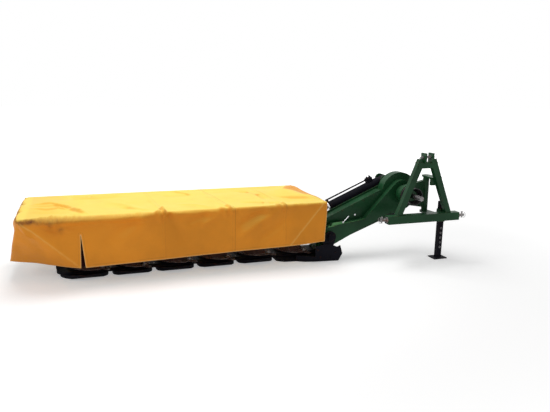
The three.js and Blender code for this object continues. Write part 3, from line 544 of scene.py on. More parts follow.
@dataclass
class Fold:
    """A ridge, or with a negative height a furrow, that runs along a line in the cloth."""

    line: Sequence[Point]
    width: float
    height: float
    ends: float = 0.3

    def lift(self, p: np.ndarray) -> np.ndarray:
        """Return how far each point of the flat cloth is lifted by the fold."""
        pts = np.array(self.line, float)
        lengths = np.linalg.norm(np.diff(pts, axis=0), axis=1)
        total = lengths.sum()
        best = np.full(len(p), 9.0)
        along = np.zeros(len(p))
        gone = 0.0
        for a, b, length in zip(pts, pts[1:], lengths):
            d = b - a
            t = np.clip(((p - a) @ d) / (d @ d), 0, 1)
            away = np.linalg.norm(p - a - t[:, None] * d, axis=1)
            closer = away < best
            best = np.where(closer, away, best)
            along = np.where(closer, (gone + t * length) / total, along)
            gone += length
        fade = np.clip(np.minimum(along, 1 - along) / self.ends, 0, 1)
        return self.height * bell(best, 0.0, self.width) * fade * fade * (3 - 2 * fade)


def bell(x: np.ndarray, middle: float, width: float) -> np.ndarray:
    """Return 1 at the middle, falling smoothly to 0 on both sides."""
    return np.exp(-(((x - middle) / width) ** 2))


def edges_of(tris: np.ndarray) -> np.ndarray:
    """Return the three edges of every triangle."""
    return np.concatenate([tris[:, [0, 1]], tris[:, [1, 2]], tris[:, [2, 0]]])


def smooth_step(x: np.ndarray, low: float, high: float) -> np.ndarray:
    """Return 0 below low and 1 above high, with a smooth change between."""
    t = np.clip((x - low) / (high - low), 0, 1)
    return t * t * (3 - 2 * t)


# ---------------------------------------------------------------- cover
# Folds of the cover, each as its width, its height, how much of its length fades at each end, and its
# line. A furrow has a negative height.
TOP_FOLDS = (  # wrinkles and hollows of the top, in X and Y
    (0.019, 0.016, 0.2, (-3.7, 0.79), (-3.48, 0.82), (-3.33, 0.66), (-3.18, 0.26)),
    (0.015, -0.01, 0.2, (-3.68, 0.72), (-3.45, 0.73), (-3.36, 0.63), (-3.27, 0.42)),
    (0.016, 0.014, 0.2, (-3.69, 0.66), (-3.52, 0.58), (-3.41, 0.65), (-3.29, 0.51), (-3.15, 0.24)),
    (0.045, -0.008, 0.3, (-3.66, 0.42), (-3.45, 0.45), (-3.28, 0.34)),
    (0.045, -0.024, 0.3, (-3.36, 1.17), (-3.2, 1.05), (-3.0, 1.05), (-2.8, 1.06)),
    (0.03, 0.016, 0.3, (-3.38, 0.99), (-3.1, 0.96), (-2.78, 1.0)),
    (0.012, 0.0055, 0.1, (-2.61, 1.2), (-2.6, 0.69), (-2.547, 0.21)),
    (0.014, 0.012, 0.3, (-2.36, 1.21), (-2.22, 1.05), (-2.13, 0.85)),
    (0.012, 0.0055, 0.1, (-2.03, 1.2), (-2.025, 0.6), (-1.93, 0.21)),
    (0.012, 0.0055, 0.1, (-1.49, 1.15), (-1.43, 0.8), (-1.405, 0.21)),
    (0.045, -0.018, 0.3, (-1.7, 1.1), (-1.52, 0.8), (-1.47, 0.46)),
    (0.032, -0.014, 0.3, (-1.8, 0.5), (-1.55, 0.36), (-1.36, 0.3)),
    (0.026, -0.013, 0.3, (-1.38, 0.72), (-1.2, 0.5), (-1.02, 0.32)),
    (0.045, 0.012, 0.3, (-2.98, 0.8), (-2.8, 0.55), (-2.72, 0.28)),
    (0.03, -0.012, 0.3, (-2.9, 0.56), (-2.78, 0.4), (-2.62, 0.27)),
    (0.036, 0.011, 0.3, (-2.4, 0.6), (-2.2, 0.42), (-2.08, 0.24)),
    (0.04, -0.012, 0.3, (-2.5, 0.98), (-2.3, 0.92), (-2.12, 0.95)),
)
BELLY_FOLDS = (  # cloth that bellies out under the front edge, in X and Z
    (0.022, 0.022, 0.12, (-3.66, 0.604), (-3.42, 0.6), (-3.12, 0.592), (-2.85, 0.594), (-2.62, 0.604)),
    (0.02, 0.014, 0.2, (-2.5, 0.606), (-2.25, 0.596), (-2.02, 0.602)),
)
FRONT_FOLDS = (  # seams and long pulls of the front, in X and Z
    (0.01, 0.004, 0.05, (-2.545, 0.6), (-2.54, 0.2)),
    (0.014, 0.004, 0.05, (-1.905, 0.6), (-1.895, 0.22)),
    (0.01, 0.003, 0.05, (-1.405, 0.6), (-1.4, 0.24)),
    (0.04, 0.024, 0.3, (-1.42, 0.6), (-1.65, 0.48), (-1.92, 0.3)),
    (0.034, -0.018, 0.3, (-1.55, 0.61), (-1.75, 0.52), (-1.89, 0.44)),
    (0.045, -0.02, 0.3, (-1.3, 0.56), (-1.48, 0.42), (-1.74, 0.25)),
    (0.028, 0.017, 0.3, (-2.0, 0.61), (-2.1, 0.54), (-2.24, 0.46)),
    (0.026, -0.013, 0.3, (-2.1, 0.61), (-2.22, 0.56), (-2.36, 0.5)),
    (0.05, 0.018, 0.3, (-2.58, 0.6), (-2.76, 0.48), (-2.98, 0.32)),
    (0.045, -0.013, 0.3, (-2.7, 0.62), (-2.92, 0.5), (-3.12, 0.36)),
    (0.055, -0.012, 0.3, (-2.5, 0.6), (-2.4, 0.45), (-2.36, 0.28)),
    (0.02, 0.013, 0.3, (-3.5, 0.615), (-3.4, 0.55), (-3.28, 0.5)),
    (0.022, -0.011, 0.3, (-3.56, 0.6), (-3.47, 0.53), (-3.36, 0.47)),
)
END_FOLDS = (  # folds of the outer end and the rear hem, in X, Y and Z
    (0.05, -0.013, 0.3, (-3.74, 0.26, 0.5), (-3.66, 0.27, 0.36), (-3.5, 0.25, 0.24)),
    (0.05, 0.005, 0.3, (-3.73, 0.42, 0.62), (-3.77, 0.46, 0.45), (-3.81, 0.5, 0.22)),
    (0.05, -0.004, 0.3, (-3.73, 0.66, 0.62), (-3.77, 0.66, 0.45), (-3.81, 0.68, 0.22)),
    (0.05, 0.009, 0.3, (-3.73, 1.02, 0.62), (-3.77, 1.0, 0.45), (-3.8, 0.98, 0.3)),
    (0.05, 0.008, 0.3, (-3.1, 1.22, 0.6), (-3.05, 1.22, 0.44)),
    (0.06, -0.007, 0.3, (-2.3, 1.22, 0.6), (-2.35, 1.22, 0.44)),
    (0.05, 0.008, 0.3, (-1.5, 1.22, 0.6), (-1.42, 1.22, 0.44)),
)
# Puckers where a seam turns over the front edge: width, height, how far back they start, their X at the
# start, on the edge and at the foot, and the Z of the foot.
PUCKERS = (
    (0.022, 0.026, 0.04, -2.62, -2.585, -2.56, 0.52),
    (0.015, 0.036, 0.16, -2.545, -2.535, -2.52, 0.55),
    (0.016, -0.016, 0.05, -2.52, -2.5, -2.47, 0.54),
    (0.02, 0.015, 0.05, -2.05, -2.0, -1.97, 0.53),
    (0.014, 0.021, 0.12, -1.96, -1.935, -1.91, 0.55),
    (0.014, -0.01, 0.05, -1.9, -1.88, -1.86, 0.56),
    (0.018, 0.013, 0.05, -1.5, -1.46, -1.43, 0.56),
    (0.013, 0.019, 0.09, -1.42, -1.41, -1.4, 0.56),
)
# Stains on the front: X, Z, size and strength.
STAINS = ((-3.472, 0.578, 0.026, 0.5), (-3.392, 0.523, 0.028, 0.5), (-3.44, 0.55, 0.07, 0.16))


@dataclass
class Cover:
    """One tarpaulin over the tube frame, bending over the hinge of the front half."""

    top: float = 0.632
    outer: float = -3.73
    inner: float = -0.97
    front: float = 0.21
    rear: float = 1.22
    flare: float = -3.846
    flare_y: float = 0.60
    hem: float = 0.18
    hem_inner: float = 0.232
    hem_rear: float = 0.42
    slit: float = -3.239
    slit_top: float = 0.472
    hinge_y: float = 0.80
    hinge_half: float = 0.028
    step: float = 0.0125
    thickness: float = 0.0016
    rail_y: float = 0.2293
    rail_rear_y: float = 1.2007
    rail_z: float = 0.6127
    clear: float = 0.0175
    seams: tuple = (-2.545, -1.905, -1.405)
    slants: tuple = (-0.065, -0.125, -0.085)
    finish: Tarpaulin = field(init=False)

    def __post_init__(self) -> None:
        """Settle the finish, which needs the seams."""
        self.finish = Tarpaulin("tarpaulin", "tarp", self.seams)

    def facets(self) -> list[list[Point]]:
        """Return the flat panels between the main creases, each counter-clockwise from outside."""
        top, front, rear = self.top, self.front, self.rear
        lid_y, bar_y = self.hinge_y - self.hinge_half, self.hinge_y + self.hinge_half
        end_z = self.hem - 0.004
        slope = (self.flare - self.outer) / (top - end_z)
        a = (self.outer, front, top)
        b = (self.inner, front, top)
        c = (self.inner, rear, top)
        d = (self.outer, rear, top)
        lid_end, bar_end = (self.outer, lid_y, top), (self.outer, bar_y, top)
        over_slit = (self.slit, front, top)
        slit_top = (self.slit, front, self.slit_top)
        slit_left = (self.slit - 0.010, front, self.hem)
        slit_right = (self.slit + 0.027, front, self.hem)
        corner = (self.inner, front, self.hem_inner)
        crease_top = (self.inner - 0.03, front, top)
        crease_low = (CREASE_X, front, self.hem + (self.hem_inner - self.hem) * 0.84)
        flare = (self.flare, self.flare_y, end_z)
        lid_low, bar_low = (self.flare, lid_y, end_z), (self.flare, bar_y, end_z)
        rear_low = (self.outer + slope * (top - self.hem_rear), rear, self.hem_rear)
        inner_low = (self.inner, rear, self.hem_rear)
        return [
            [a, over_slit, crease_top, b, c, d, bar_end, lid_end],
            [over_slit, slit_top, slit_right, crease_low, crease_top],
            [crease_top, crease_low, corner, b],
            [a, slit_left, slit_top, over_slit],
            [a, flare, slit_left],
            [lid_end, lid_low, flare, a],
            [d, rear_low, bar_low, bar_end],
            [c, inner_low, rear_low, d],
        ]

    def folds(self) -> list[Fold]:
        """Return the wrinkles, puckers and sags that lines can describe."""
        t, f = self.top, self.front

        def laid(rows: Sequence, place: Callable) -> list[Fold]:
            """Return the folds of one table, with each of their places as a point."""
            return [Fold([place(*spot) for spot in row[3:]], *row[:3]) for row in rows]

        made = laid(TOP_FOLDS, lambda x, y: (x, y, t)) + laid(BELLY_FOLDS, lambda x, z: (x, f, z))
        for width, height, back, start, edge, foot, low in PUCKERS:
            made.append(Fold([(start, f + back, t), (edge, f, t), (foot, f, low)], width, height))
        return made + laid(FRONT_FOLDS, lambda x, z: (x, f, z)) + laid(END_FOLDS, lambda *spot: spot)

    def crease_lines(self) -> list[Fold]:
        """Return the two sharp creases where the cloth was folded in storage, and the hanging corner's."""
        f = self.front
        return [
            Fold([(self.outer, f, self.top), (self.slit - 0.02, f, self.hem)], 0.007, 0.003, 0.02),
            Fold([(self.inner - 0.03, f, self.top), (CREASE_X, f, CREASE_Z)], 0.007, 0.003, 0.02),
        ]

    def smoothed(self, points: np.ndarray, tris: np.ndarray, passes: int, share: float) -> np.ndarray:
        """Round the cloth's corners by moving each inner point towards its neighbours."""
        pairs = edges_of(tris)
        both = np.concatenate([pairs, pairs[:, ::-1]])
        count = np.bincount(both[:, 0], minlength=len(points))
        edge_ids = np.sort(pairs, 1)
        _, where, uses = np.unique(edge_ids, axis=0, return_index=True, return_counts=True)
        rim = np.zeros(len(points), bool)
        rim[edge_ids[where[uses == 1]].ravel()] = True
        for _ in range(passes):
            total = [np.bincount(both[:, 0], points[both[:, 1], k], len(points)) for k in range(3)]
            mean = np.stack(total, 1) / count[:, None]
            points = np.where(rim[:, None], points, points + share * (mean - points))
        self.rim = rim
        return points

    def bows(self) -> np.ndarray:
        """Return X of the six bows under the cloth."""
        return np.linspace(self.outer + 0.048, self.inner - 0.04, 6)

    def sag(self, flat: np.ndarray) -> np.ndarray:
        """Return how far the top drops between the bows and tubes, upwards being positive."""
        bows = self.bows()
        pitch = bows[1] - bows[0]
        across = np.sin(np.pi * np.clip((flat[:, 0] - bows[0]) / pitch, 0, 5)) ** 2
        ahead = np.sin(np.pi * np.clip((flat[:, 1] - self.rail_y) / (0.84 - self.rail_y), 0, 1)) ** 2
        behind = np.sin(np.pi * np.clip((flat[:, 1] - 0.86) / (self.rail_rear_y - 0.86), 0, 1)) ** 2
        deep, shallow = 0.012, 0.007
        on_top = (flat[:, 2] > self.top - 1e-4).astype(float)
        return -on_top * across * (deep * ahead + shallow * behind)

    def tented_corner(self, flat: np.ndarray) -> np.ndarray:
        """Return the lift of the ridge that stands over the inner end, with a slope down to its edge."""
        line = ((self.inner, self.rear), (-1.16, 0.90), (-1.14, 0.60), (self.inner, 0.30))
        ridge = Fold([(x, y, self.top) for x, y in line], 0.10, 0.030, 0.25)
        on_top = smooth_step(flat[:, 2], self.top - 0.03, self.top)
        return ridge.lift(flat) * on_top

    def build(self) -> bpy.types.Object:
        """Build the sheet with its wrinkles, thickness and stored values.

        Returns:
            The finished sheet.
        """
        points, tris = [], []
        count = 0
        area = 0.0
        for corners in self.facets():
            p, t = tile(corners, self.step)
            points.append(p)
            tris.append(t + count)
            count += len(p)
            doubled = np.cross(p[t[:, 1]] - p[t[:, 0]], p[t[:, 2]] - p[t[:, 0]])
            area += 0.5 * np.linalg.norm(doubled, axis=1).sum()
        self.area = float(area)
        flat, tris = self.welded(np.concatenate(points), np.concatenate(tris))
        shape = self.smoothed(flat, tris, 4, 0.6)
        normals = vertex_normals(shape, tris)
        wrinkles = sum(fold.lift(flat) for fold in self.folds())
        creases = [fold.lift(flat) for fold in self.crease_lines()]
        lift = wrinkles + self.sag(flat) + sum(creases) + self.tented_corner(flat)
        lift = lift + self.ripple(flat) + self.gathers(flat)
        shape = shape + normals * lift[:, None]
        shape = self.fitted(shape, flat)
        normals = vertex_normals(shape, tris)
        values = self.stored_values(flat, shape, normals, creases, wrinkles)
        return self.thickened("cover_sheet", shape, normals, tris, values)

    def welded(self, points: np.ndarray, tris: np.ndarray) -> tuple[np.ndarray, np.ndarray]:
        """Join the panels along their shared edges."""
        keys = np.round(points, 4)
        _, first, back = np.unique(keys, axis=0, return_index=True, return_inverse=True)
        joined = back.reshape(-1)[tris]
        good = (joined != np.roll(joined, -1, 1)).all(1)
        return points[first], joined[good]

    def gathers(self, flat: np.ndarray) -> np.ndarray:
        """Return the slack that hangs in small swags just under the front edge."""
        drop = (self.top - flat[:, 2]) + np.maximum(flat[:, 1] - self.front, 0.0) * -2.2
        profile = bell(drop, 0.028, 0.040) * (flat[:, 1] < self.front + 0.05)

        def slack_at(x: float) -> float:
            """Return how much cloth is gathered at one place along the edge."""
            wide, fine = (noise.noise(Vector(spot)) for spot in ((x * 3.6, 3.7, 0.2), (x * 10.5, 1.3, 5.0)))
            return max(0.0, 0.55 + 1.3 * wide + 0.7 * fine)

        size = {x: slack_at(x) for x in {round(x, 3) for x in flat[:, 0]}}
        swag = np.array([size[round(x, 3)] for x in flat[:, 0]])
        inner = smooth_step(self.inner - 0.02 - flat[:, 0], 0.0, 0.10)
        outer = smooth_step(-flat[:, 0], 2.62, 2.75) * (1 - smooth_step(-flat[:, 0], 3.60, 3.72))
        slack = 0.55 + 0.85 * outer
        return 0.026 * swag * slack * profile * inner

    def ripple(self, flat: np.ndarray) -> np.ndarray:
        """Return small uneven waves, stronger near the hems."""
        low = smooth_step(self.top - flat[:, 2], 0.10, 0.45)
        wave = [
            noise.noise(Vector((p[0] * 2.1, p[1] * 2.6, p[2] * 1.7))) * (0.0045 + 0.008 * h)
            + noise.noise(Vector((p[0] * 7.0 + 9.0, p[1] * 6.0, p[2] * 4.0))) * (0.0022 + 0.002 * h)
            for p, h in zip(flat, low)
        ]
        return np.array(wave)

    def fitted(self, shape: np.ndarray, flat: np.ndarray) -> np.ndarray:
        """Scallop the outer edge, turn the inner corner and keep the cloth clear of the tubes."""
        made = shape.copy()
        end = np.maximum(0.0, self.top - flat[:, 2])
        on_end = (flat[:, 0] < self.outer + 1e-4) & (flat[:, 1] > self.front + 1e-4)
        scallop = np.abs(np.sin((flat[:, 1] - self.front) * math.pi / 0.335)) ** 0.6
        roll = np.sin(np.pi * np.clip(end / 0.11, 0, 1)) ** 0.7 * on_end
        roll *= smooth_step(flat[:, 1], self.front + 0.06, self.front + 0.20)
        made[:, 0] -= roll * (0.006 + 0.018 * scallop)
        edge = bell(flat[:, 0], self.outer, 0.05) * smooth_step(flat[:, 2], self.top - 0.02, self.top)
        made[:, 0] += edge * (0.010 - 0.022 * scallop)
        made[:, 2] -= edge * 0.008 * (1 - scallop)
        turn = smooth_step(flat[:, 0], -1.34, self.inner) * smooth_step(self.top - flat[:, 2], 0.05, 0.40)
        beyond = (flat[:, 0] - CREASE_X) / 0.345 - (flat[:, 2] - CREASE_Z) / 0.40
        below = smooth_step(beyond, 0.0, 1.0)
        made[:, 1] += 0.030 * turn * below * (flat[:, 1] < self.front + 0.02)
        for y in (self.rail_y, self.rail_rear_y):
            d = np.stack([made[:, 1] - y, made[:, 2] - self.rail_z], 1)
            reach = np.linalg.norm(d, axis=1)
            close = (reach < self.clear + self.thickness) & (reach > 1e-6)
            push = (self.clear + self.thickness) / np.maximum(reach, 1e-6)
            made[close, 1] = y + d[close, 0] * push[close]
            made[close, 2] = self.rail_z + d[close, 1] * push[close]
        bow_half, beam_front, beam_rear = 0.024, 0.79, 0.885
        over_bow = np.min(np.abs(flat[:, :1] - self.bows()[None, :]), axis=1) < bow_half
        over_beam = (flat[:, 1] > beam_front) & (flat[:, 1] < beam_rear)
        inset = 0.02
        within = (flat[:, 1] > self.front + inset) & (flat[:, 1] < self.rear - inset)
        within &= flat[:, 0] > self.outer + inset
        held = (flat[:, 2] > self.top - 1e-4) & (over_bow | over_beam) & within
        made[held, 2] = np.maximum(made[held, 2], self.top - 0.0015)
        return made

    def panel_place(self, flat: np.ndarray) -> np.ndarray:
        """Return X measured so that each seam, which runs aslant over the top, has one value."""
        back = np.clip((flat[:, 1] - self.front) / (self.rear - self.front), 0, 1)
        shift = np.zeros(len(flat))
        for seam, slant in zip(self.seams, self.slants):
            here = seam + slant * back
            near = np.clip(1 - np.abs(flat[:, 0] - here) / 0.22, 0, 1)
            shift += slant * back * smooth_step(near, 0.0, 0.6)
        return flat[:, 0] - shift

    def stored_values(
        self, flat: np.ndarray, shape: np.ndarray, normals: np.ndarray, creases: list, lift: np.ndarray
    ) -> dict:
        """Return the values that the tarpaulin's finish reads at each point.

        Args:
            flat: the points of the cloth before it is folded.
            shape: the same points as the cloth hangs.
            normals: the normals there.
            creases: how far each storage crease lifts the cloth.
            lift: how far the wrinkles lift it.

        Returns:
            One array for each of the finish's stored values.
        """
        x, y, z = flat.T
        on_top = z > self.top - 0.03
        # How far each face looks up. It sets the sun-faded yellow and also paints shade: slopes and the sides
        # of folds stay orange, as if less lit.
        up = smooth_step(normals[:, 2], 0.15, 0.80) * (0.5 + 0.5 * smooth_step(normals[:, 2], 0.84, 0.988))
        # Painted shade: furrows of the wrinkles on the top get less of the light yellow.
        furrow_shade = smooth_step(-lift, 0.004, 0.022) * on_top
        # Painted shade on the inner sloping panel of the top, which faces away from the light: it keeps the
        # orange.
        edge = np.interp(y, (0.36, 0.673, 0.886, 1.16, 1.25), (-0.985, -1.085, -1.20, -1.05, -1.0))
        shaded_facet = smooth_step(x - edge, 0.0, 0.030) * on_top
        outer = smooth_step(-x, 3.20, 3.55) * (1 - smooth_step(-x, 3.64, 3.68))
        # Light yellow where the cloth is sun-faded and lit, orange where it is sun-faded less or lies in
        # painted shade.
        faded_and_lit = up * (1 - 0.85 * shaded_facet) * (1 - 0.20 * outer) * (1 - 0.22 * furrow_shade)
        edge_dirt = bell(x, self.outer, 0.03) * (x < self.outer + 1e-4)
        edge_dirt *= smooth_step(z, self.top - 0.075, self.top - 0.01) * (z < self.top - 0.002)
        smudge = bell(x, -3.66, 0.12) * bell(z, 0.61, 0.022) * (y < self.front + 0.012)
        front = y < self.front + 0.01
        line = bell(z, 0.612, 0.016) * smooth_step(-x, 2.9, 3.5) * 0.4 * front
        stains = sum(
            strength * bell(np.hypot(x - at_x, z - at_z), 0.0, size) * front
            for at_x, at_z, size, strength in STAINS
        )
        splash = smooth_step(0.34 - z, 0.0, 0.22) * 0.10
        soil = np.clip(edge_dirt * 0.9 + smudge * 0.75 + line + stains + splash, 0, 1)
        hem = self.hem_distance(shape)
        # Mask of the storage creases, which the finish paints with a lighter line as a painted highlight.
        crease = np.clip(np.abs(creases[0]) / 0.003 + np.abs(creases[1]) / 0.003, 0, 1)
        panel = self.panel_place(flat)
        return {"faded_and_lit": faded_and_lit, "soil": soil, "crease": crease, "hem": hem, "panel": panel, "cloth": flat}

    def thickened(
        self, name: str, shape: np.ndarray, normals: np.ndarray, tris: np.ndarray, values: dict
    ) -> bpy.types.Object:
        """Give a sheet its thickness, twice as much in the hem, and store its values."""
        thick = self.thickness * (1 + 1.2 * smooth_step(0.028 - values["hem"], 0.0, 0.008))
        inside = shape - normals * thick[:, None]
        count = len(shape)
        under = tris[:, ::-1] + count
        pairs = edges_of(tris)
        known = {(a, b) for a, b in pairs.tolist()}
        rim = [(a, b) for a, b in known if (b, a) not in known]
        sides = [(b, a, a + count, b + count) for a, b in sorted(rim)]
        faces = tris.tolist() + under.tolist() + sides
        both = np.concatenate([shape, inside]) + np.array(HITCH)
        made = mesh_object(name, both, faces)
        for label, value in values.items():
            kind = "FLOAT_VECTOR" if value.ndim == 2 else "FLOAT"
            store = made.data.attributes.new(label, kind, "POINT")
            key = "vector" if value.ndim == 2 else "value"
            store.data.foreach_set(key, np.concatenate([value, value]).astype(np.float32).ravel())
        return made

    def hem_distance(self, shape: np.ndarray) -> np.ndarray:
        """Return how far each point is from the sheet's nearest edge."""
        edge = shape[self.rim]
        parts = [
            np.linalg.norm(shape[block][:, None, :] - edge[None, :, :], axis=2).min(1)
            for block in np.array_split(np.arange(len(shape)), 40)
        ]
        return np.concatenate(parts)

    def strip(self, name: str, corners: Sequence[Point], bow: Point) -> bpy.types.Object:
        """Build a small hanging strip of cloth.

        Args:
            name: the piece's name.
            corners: its four corners, counter-clockwise from outside.
            bow: how far its middle line stands off its plane.

        Returns:
            The strip.
        """
        flat, tris = tile(corners, self.step)
        c = np.array(corners, float)
        across = unit(c[1] - c[0])
        width = np.linalg.norm(c[1] - c[0])
        share = np.clip(((flat - c[0]) @ across) / width, 0, 1)
        shape = flat + np.sin(np.pi * share)[:, None] * np.array(bow, float)
        shape = self.smoothed(shape, tris, 1, 0.3)
        normals = vertex_normals(shape, tris)
        zero = np.zeros(len(flat))
        values = {
            "faded_and_lit": zero,
            "soil": zero + 0.12,
            "crease": zero,
            "hem": self.hem_distance(shape),
            "panel": zero,
            "cloth": flat,
        }
        return self.thickened(name, shape, normals, tris, values)

    def slit_shade_sheet(self) -> bpy.types.Object:
        """Hang a dark sheet behind the slit in the front, as painted shade for the dark inside."""
        y, half, foot = self.front + 0.0045, 0.055, 0.018
        top, low = self.slit_top + 0.045, self.hem + 0.012
        x = self.slit
        made = self.strip(
            "slit_shade_sheet",
            [(x - foot, y, low), (x + half, y, low), (x + half, y, top), (x - half, y, top)],
            (0.0, 0.016, 0.0),
        )
        # Dark maroon rubber: painted shade in the slit.
        rubber = Moulded("slit shade rubber", (0.022, 0.004, 0.006), "plastic", 0.8, 0.04)
        made.data.materials.append(rubber.build())
        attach(made, Body.LID)
        return made

    def end_flap(self, cloth: bpy.types.Material) -> bpy.types.Object:
        """Hang the strip that closes the gap of the outer end at the hinge."""
        half = self.hinge_half + 0.022
        slope = (self.flare - self.outer) / (self.top - self.hem + 0.004)
        top, low = self.top - 0.022, self.hem + 0.010
        x_top = self.outer + slope * (self.top - top) + 0.009
        x_low = self.outer + slope * (self.top - low) + 0.009
        y = self.hinge_y
        made = self.strip(
            "end_flap",
            [(x_low, y + half, low), (x_low, y - half, low), (x_top, y - half, top), (x_top, y + half, top)],
            (0.004, 0.0, 0.0),
        )
        made.data.materials.append(cloth)
        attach(made, Body.BAR)
        return made

    def mount(self) -> bpy.types.Object:
        sheet = self.build()
        cloth = self.finish.build()
        sheet.data.materials.append(cloth)
        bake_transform(sheet)
        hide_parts("cover_front", "cover_rear")
        log.info("cover_sheet: %d points, %.2f square metres", len(sheet.data.vertices), self.area)
        log.info("%s, %s", self.slit_shade_sheet().name, self.end_flap(cloth).name)
        return sheet


# ---------------------------------------------------------------- small fittings
@dataclass
class Fittings:
    """Small parts of one finish on one body, gathered into one piece."""

    name: str
    body: str
    slot: str
    points: list = field(default_factory=list)
    faces: list = field(default_factory=list)

    def add(self, points: Sequence[Point], faces: Sequence) -> None:
        """Add a closed form."""
        start = len(self.points)
        self.points.extend(Vector(p) for p in points)
        self.faces.extend(tuple(i + start for i in face) for face in faces)

    @staticmethod
    def bands(count: int, sides: int, round_again: bool) -> list[tuple]:
        """Return the faces between rings of points, from the last back to the first where asked."""
        faces = []
        for i in range(count if round_again else count - 1):
            here, ahead = i * sides, (i + 1) % count * sides
            for k in range(sides):
                m = (k + 1) % sides
                faces.append((here + k, here + m, ahead + m, ahead + k))
        return faces

    def turned(self, base: Point, axis: Point, profile: Sequence, sides: int = 24, turn: float = 0.0) -> None:
        """Turn a profile round an axis.

        Args:
            base: the place of height 0.
            axis: the axis's direction.
            profile: pairs of radius and height, upwards along the outside; a first and last radius
                of 0 closes it at the axis, and any other profile is closed as a ring.
            sides: how many sides the form has.
            turn: turn of its first side, in radians.
        """
        up = Vector(axis).normalized()
        side = up.orthogonal().normalized()
        across = up.cross(side)
        closed = profile[0][0] == 0
        rows = profile[1:-1] if closed else profile
        points = []
        for r, h in rows:
            for k in range(sides):
                a = 2 * math.pi * k / sides + turn
                points.append(Vector(base) + up * h + (side * math.cos(a) + across * math.sin(a)) * r)
        count = len(rows)
        faces = self.bands(count, sides, not closed)
        if closed:
            points.extend((Vector(base) + up * profile[0][1], Vector(base) + up * profile[-1][1]))
            low, high = len(points) - 2, len(points) - 1
            last = (count - 1) * sides
            for k in range(sides):
                m = (k + 1) % sides
                faces.append((low, m, k))
                faces.append((high, last + k, last + m))
        self.add(points, faces)

    def prism(self, outline: Sequence[Point], front: float, back: float, lean: float = 0.0) -> None:
        """Add a plate with an outline in X and Z.

        Args:
            outline: its corners, counter-clockwise as seen from the front.
            front: Y of its front face.
            back: Y of its back face.
            lean: how much farther back each metre of height above the first corner lies.
        """
        count = len(outline)
        base = outline[0][1]
        points = [at(x, y + (z - base) * lean, z) for y in (front, back) for x, z in outline]
        sides = [(i, i + count, (i + 1) % count + count, (i + 1) % count) for i in range(count)]
        self.add(points, [tuple(range(count)), tuple(reversed(range(count, 2 * count))), *sides])

    def bolt(self, base: Point, axis: Point, size: float = 0.011) -> None:
        """Add a hexagon bolt head on a washer.

        Args:
            base: the middle of the face it sits on.
            axis: the way the head points.
            size: half the width over the head's corners.
        """
        up = Vector(axis).normalized()
        base = Vector(base) - up * 0.0004
        lift = 0.10 * size * 2
        wide = size * 1.25
        self.turned(base, up, [(0, 0), (wide, 0), (size * 1.3, lift * 0.5), (wide, lift), (0, lift)], 24)
        high = size * 0.68
        turn = (base.x * 37.0 + base.z * 53.0) % 1.0
        head = [(0, 0), (size, 0), (size, high * 0.82), (size * 0.84, high), (0, high)]
        self.turned(base + up * lift * 0.98, up, head, 6, turn)

    def tube(self, path: Sequence[Point], radius: float, sides: int = 10) -> None:
        """Add a round bar that follows a path."""
        pts = [Vector(p) for p in path]
        ahead = (pts[1] - pts[0]).normalized()
        side = ahead.orthogonal().normalized()
        points = []
        for i, p in enumerate(pts):
            to = pts[min(i + 1, len(pts) - 1)] - pts[max(i - 1, 0)]
            ahead = to.normalized()
            side = (side - ahead * side.dot(ahead)).normalized()
            across = ahead.cross(side)
            for k in range(sides):
                a = 2 * math.pi * k / sides
                points.append(p + (side * math.cos(a) + across * math.sin(a)) * radius)
        last = (len(pts) - 1) * sides
        ends = [tuple(reversed(range(sides))), tuple(last + k for k in range(sides))]
        self.add(points, self.bands(len(pts), sides, False) + ends)

    def linch_pin(self, base: Point, axis: Point, across: Point, size: float = 0.006) -> None:
        """Add a linch pin with its spring ring.

        Args:
            base: the middle of the pin it goes through.
            axis: the linch pin's own direction.
            across: the direction that its ring folds over to.
            size: the radius of its shank.
        """
        up, side = Vector(axis).normalized(), Vector(across).normalized()
        head = size * 1.7
        shank = [(0, -0.028), (size, -0.028), (size, 0.022), (head, 0.023), (head, 0.036), (0, 0.036)]
        self.turned(base, up, shank, 14)
        middle = Vector(base) + up * 0.002 + side * 0.022
        loop = 0.030
        ring = []
        for k in range(25):
            a = math.pi * (0.08 + 1.84 * k / 24)
            ring.append(middle + up * loop * 0.95 * math.cos(a) + up.cross(side) * loop * math.sin(a))
        self.tube(ring, 0.0022, 8)

    def finish(self, material: bpy.types.Material) -> bpy.types.Object:
        """Build the piece and mount it on its body."""
        made = mesh_object(self.name, np.array([tuple(p) for p in self.points]), self.faces)
        made.data.set_sharp_from_angle(angle=math.radians(34))
        made.data.materials.append(material)
        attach(made, str(self.body))
        log.info("%s: %d faces on %s", self.name, len(self.faces), self.body)
        return made


UP = (0.0, 0.0, 1.0)
FORE, AFT = (0.0, -1.0, 0.0), (0.0, 1.0, 0.0)
OUT, IN = (-1.0, 0.0, 0.0), (1.0, 0.0, 0.0)


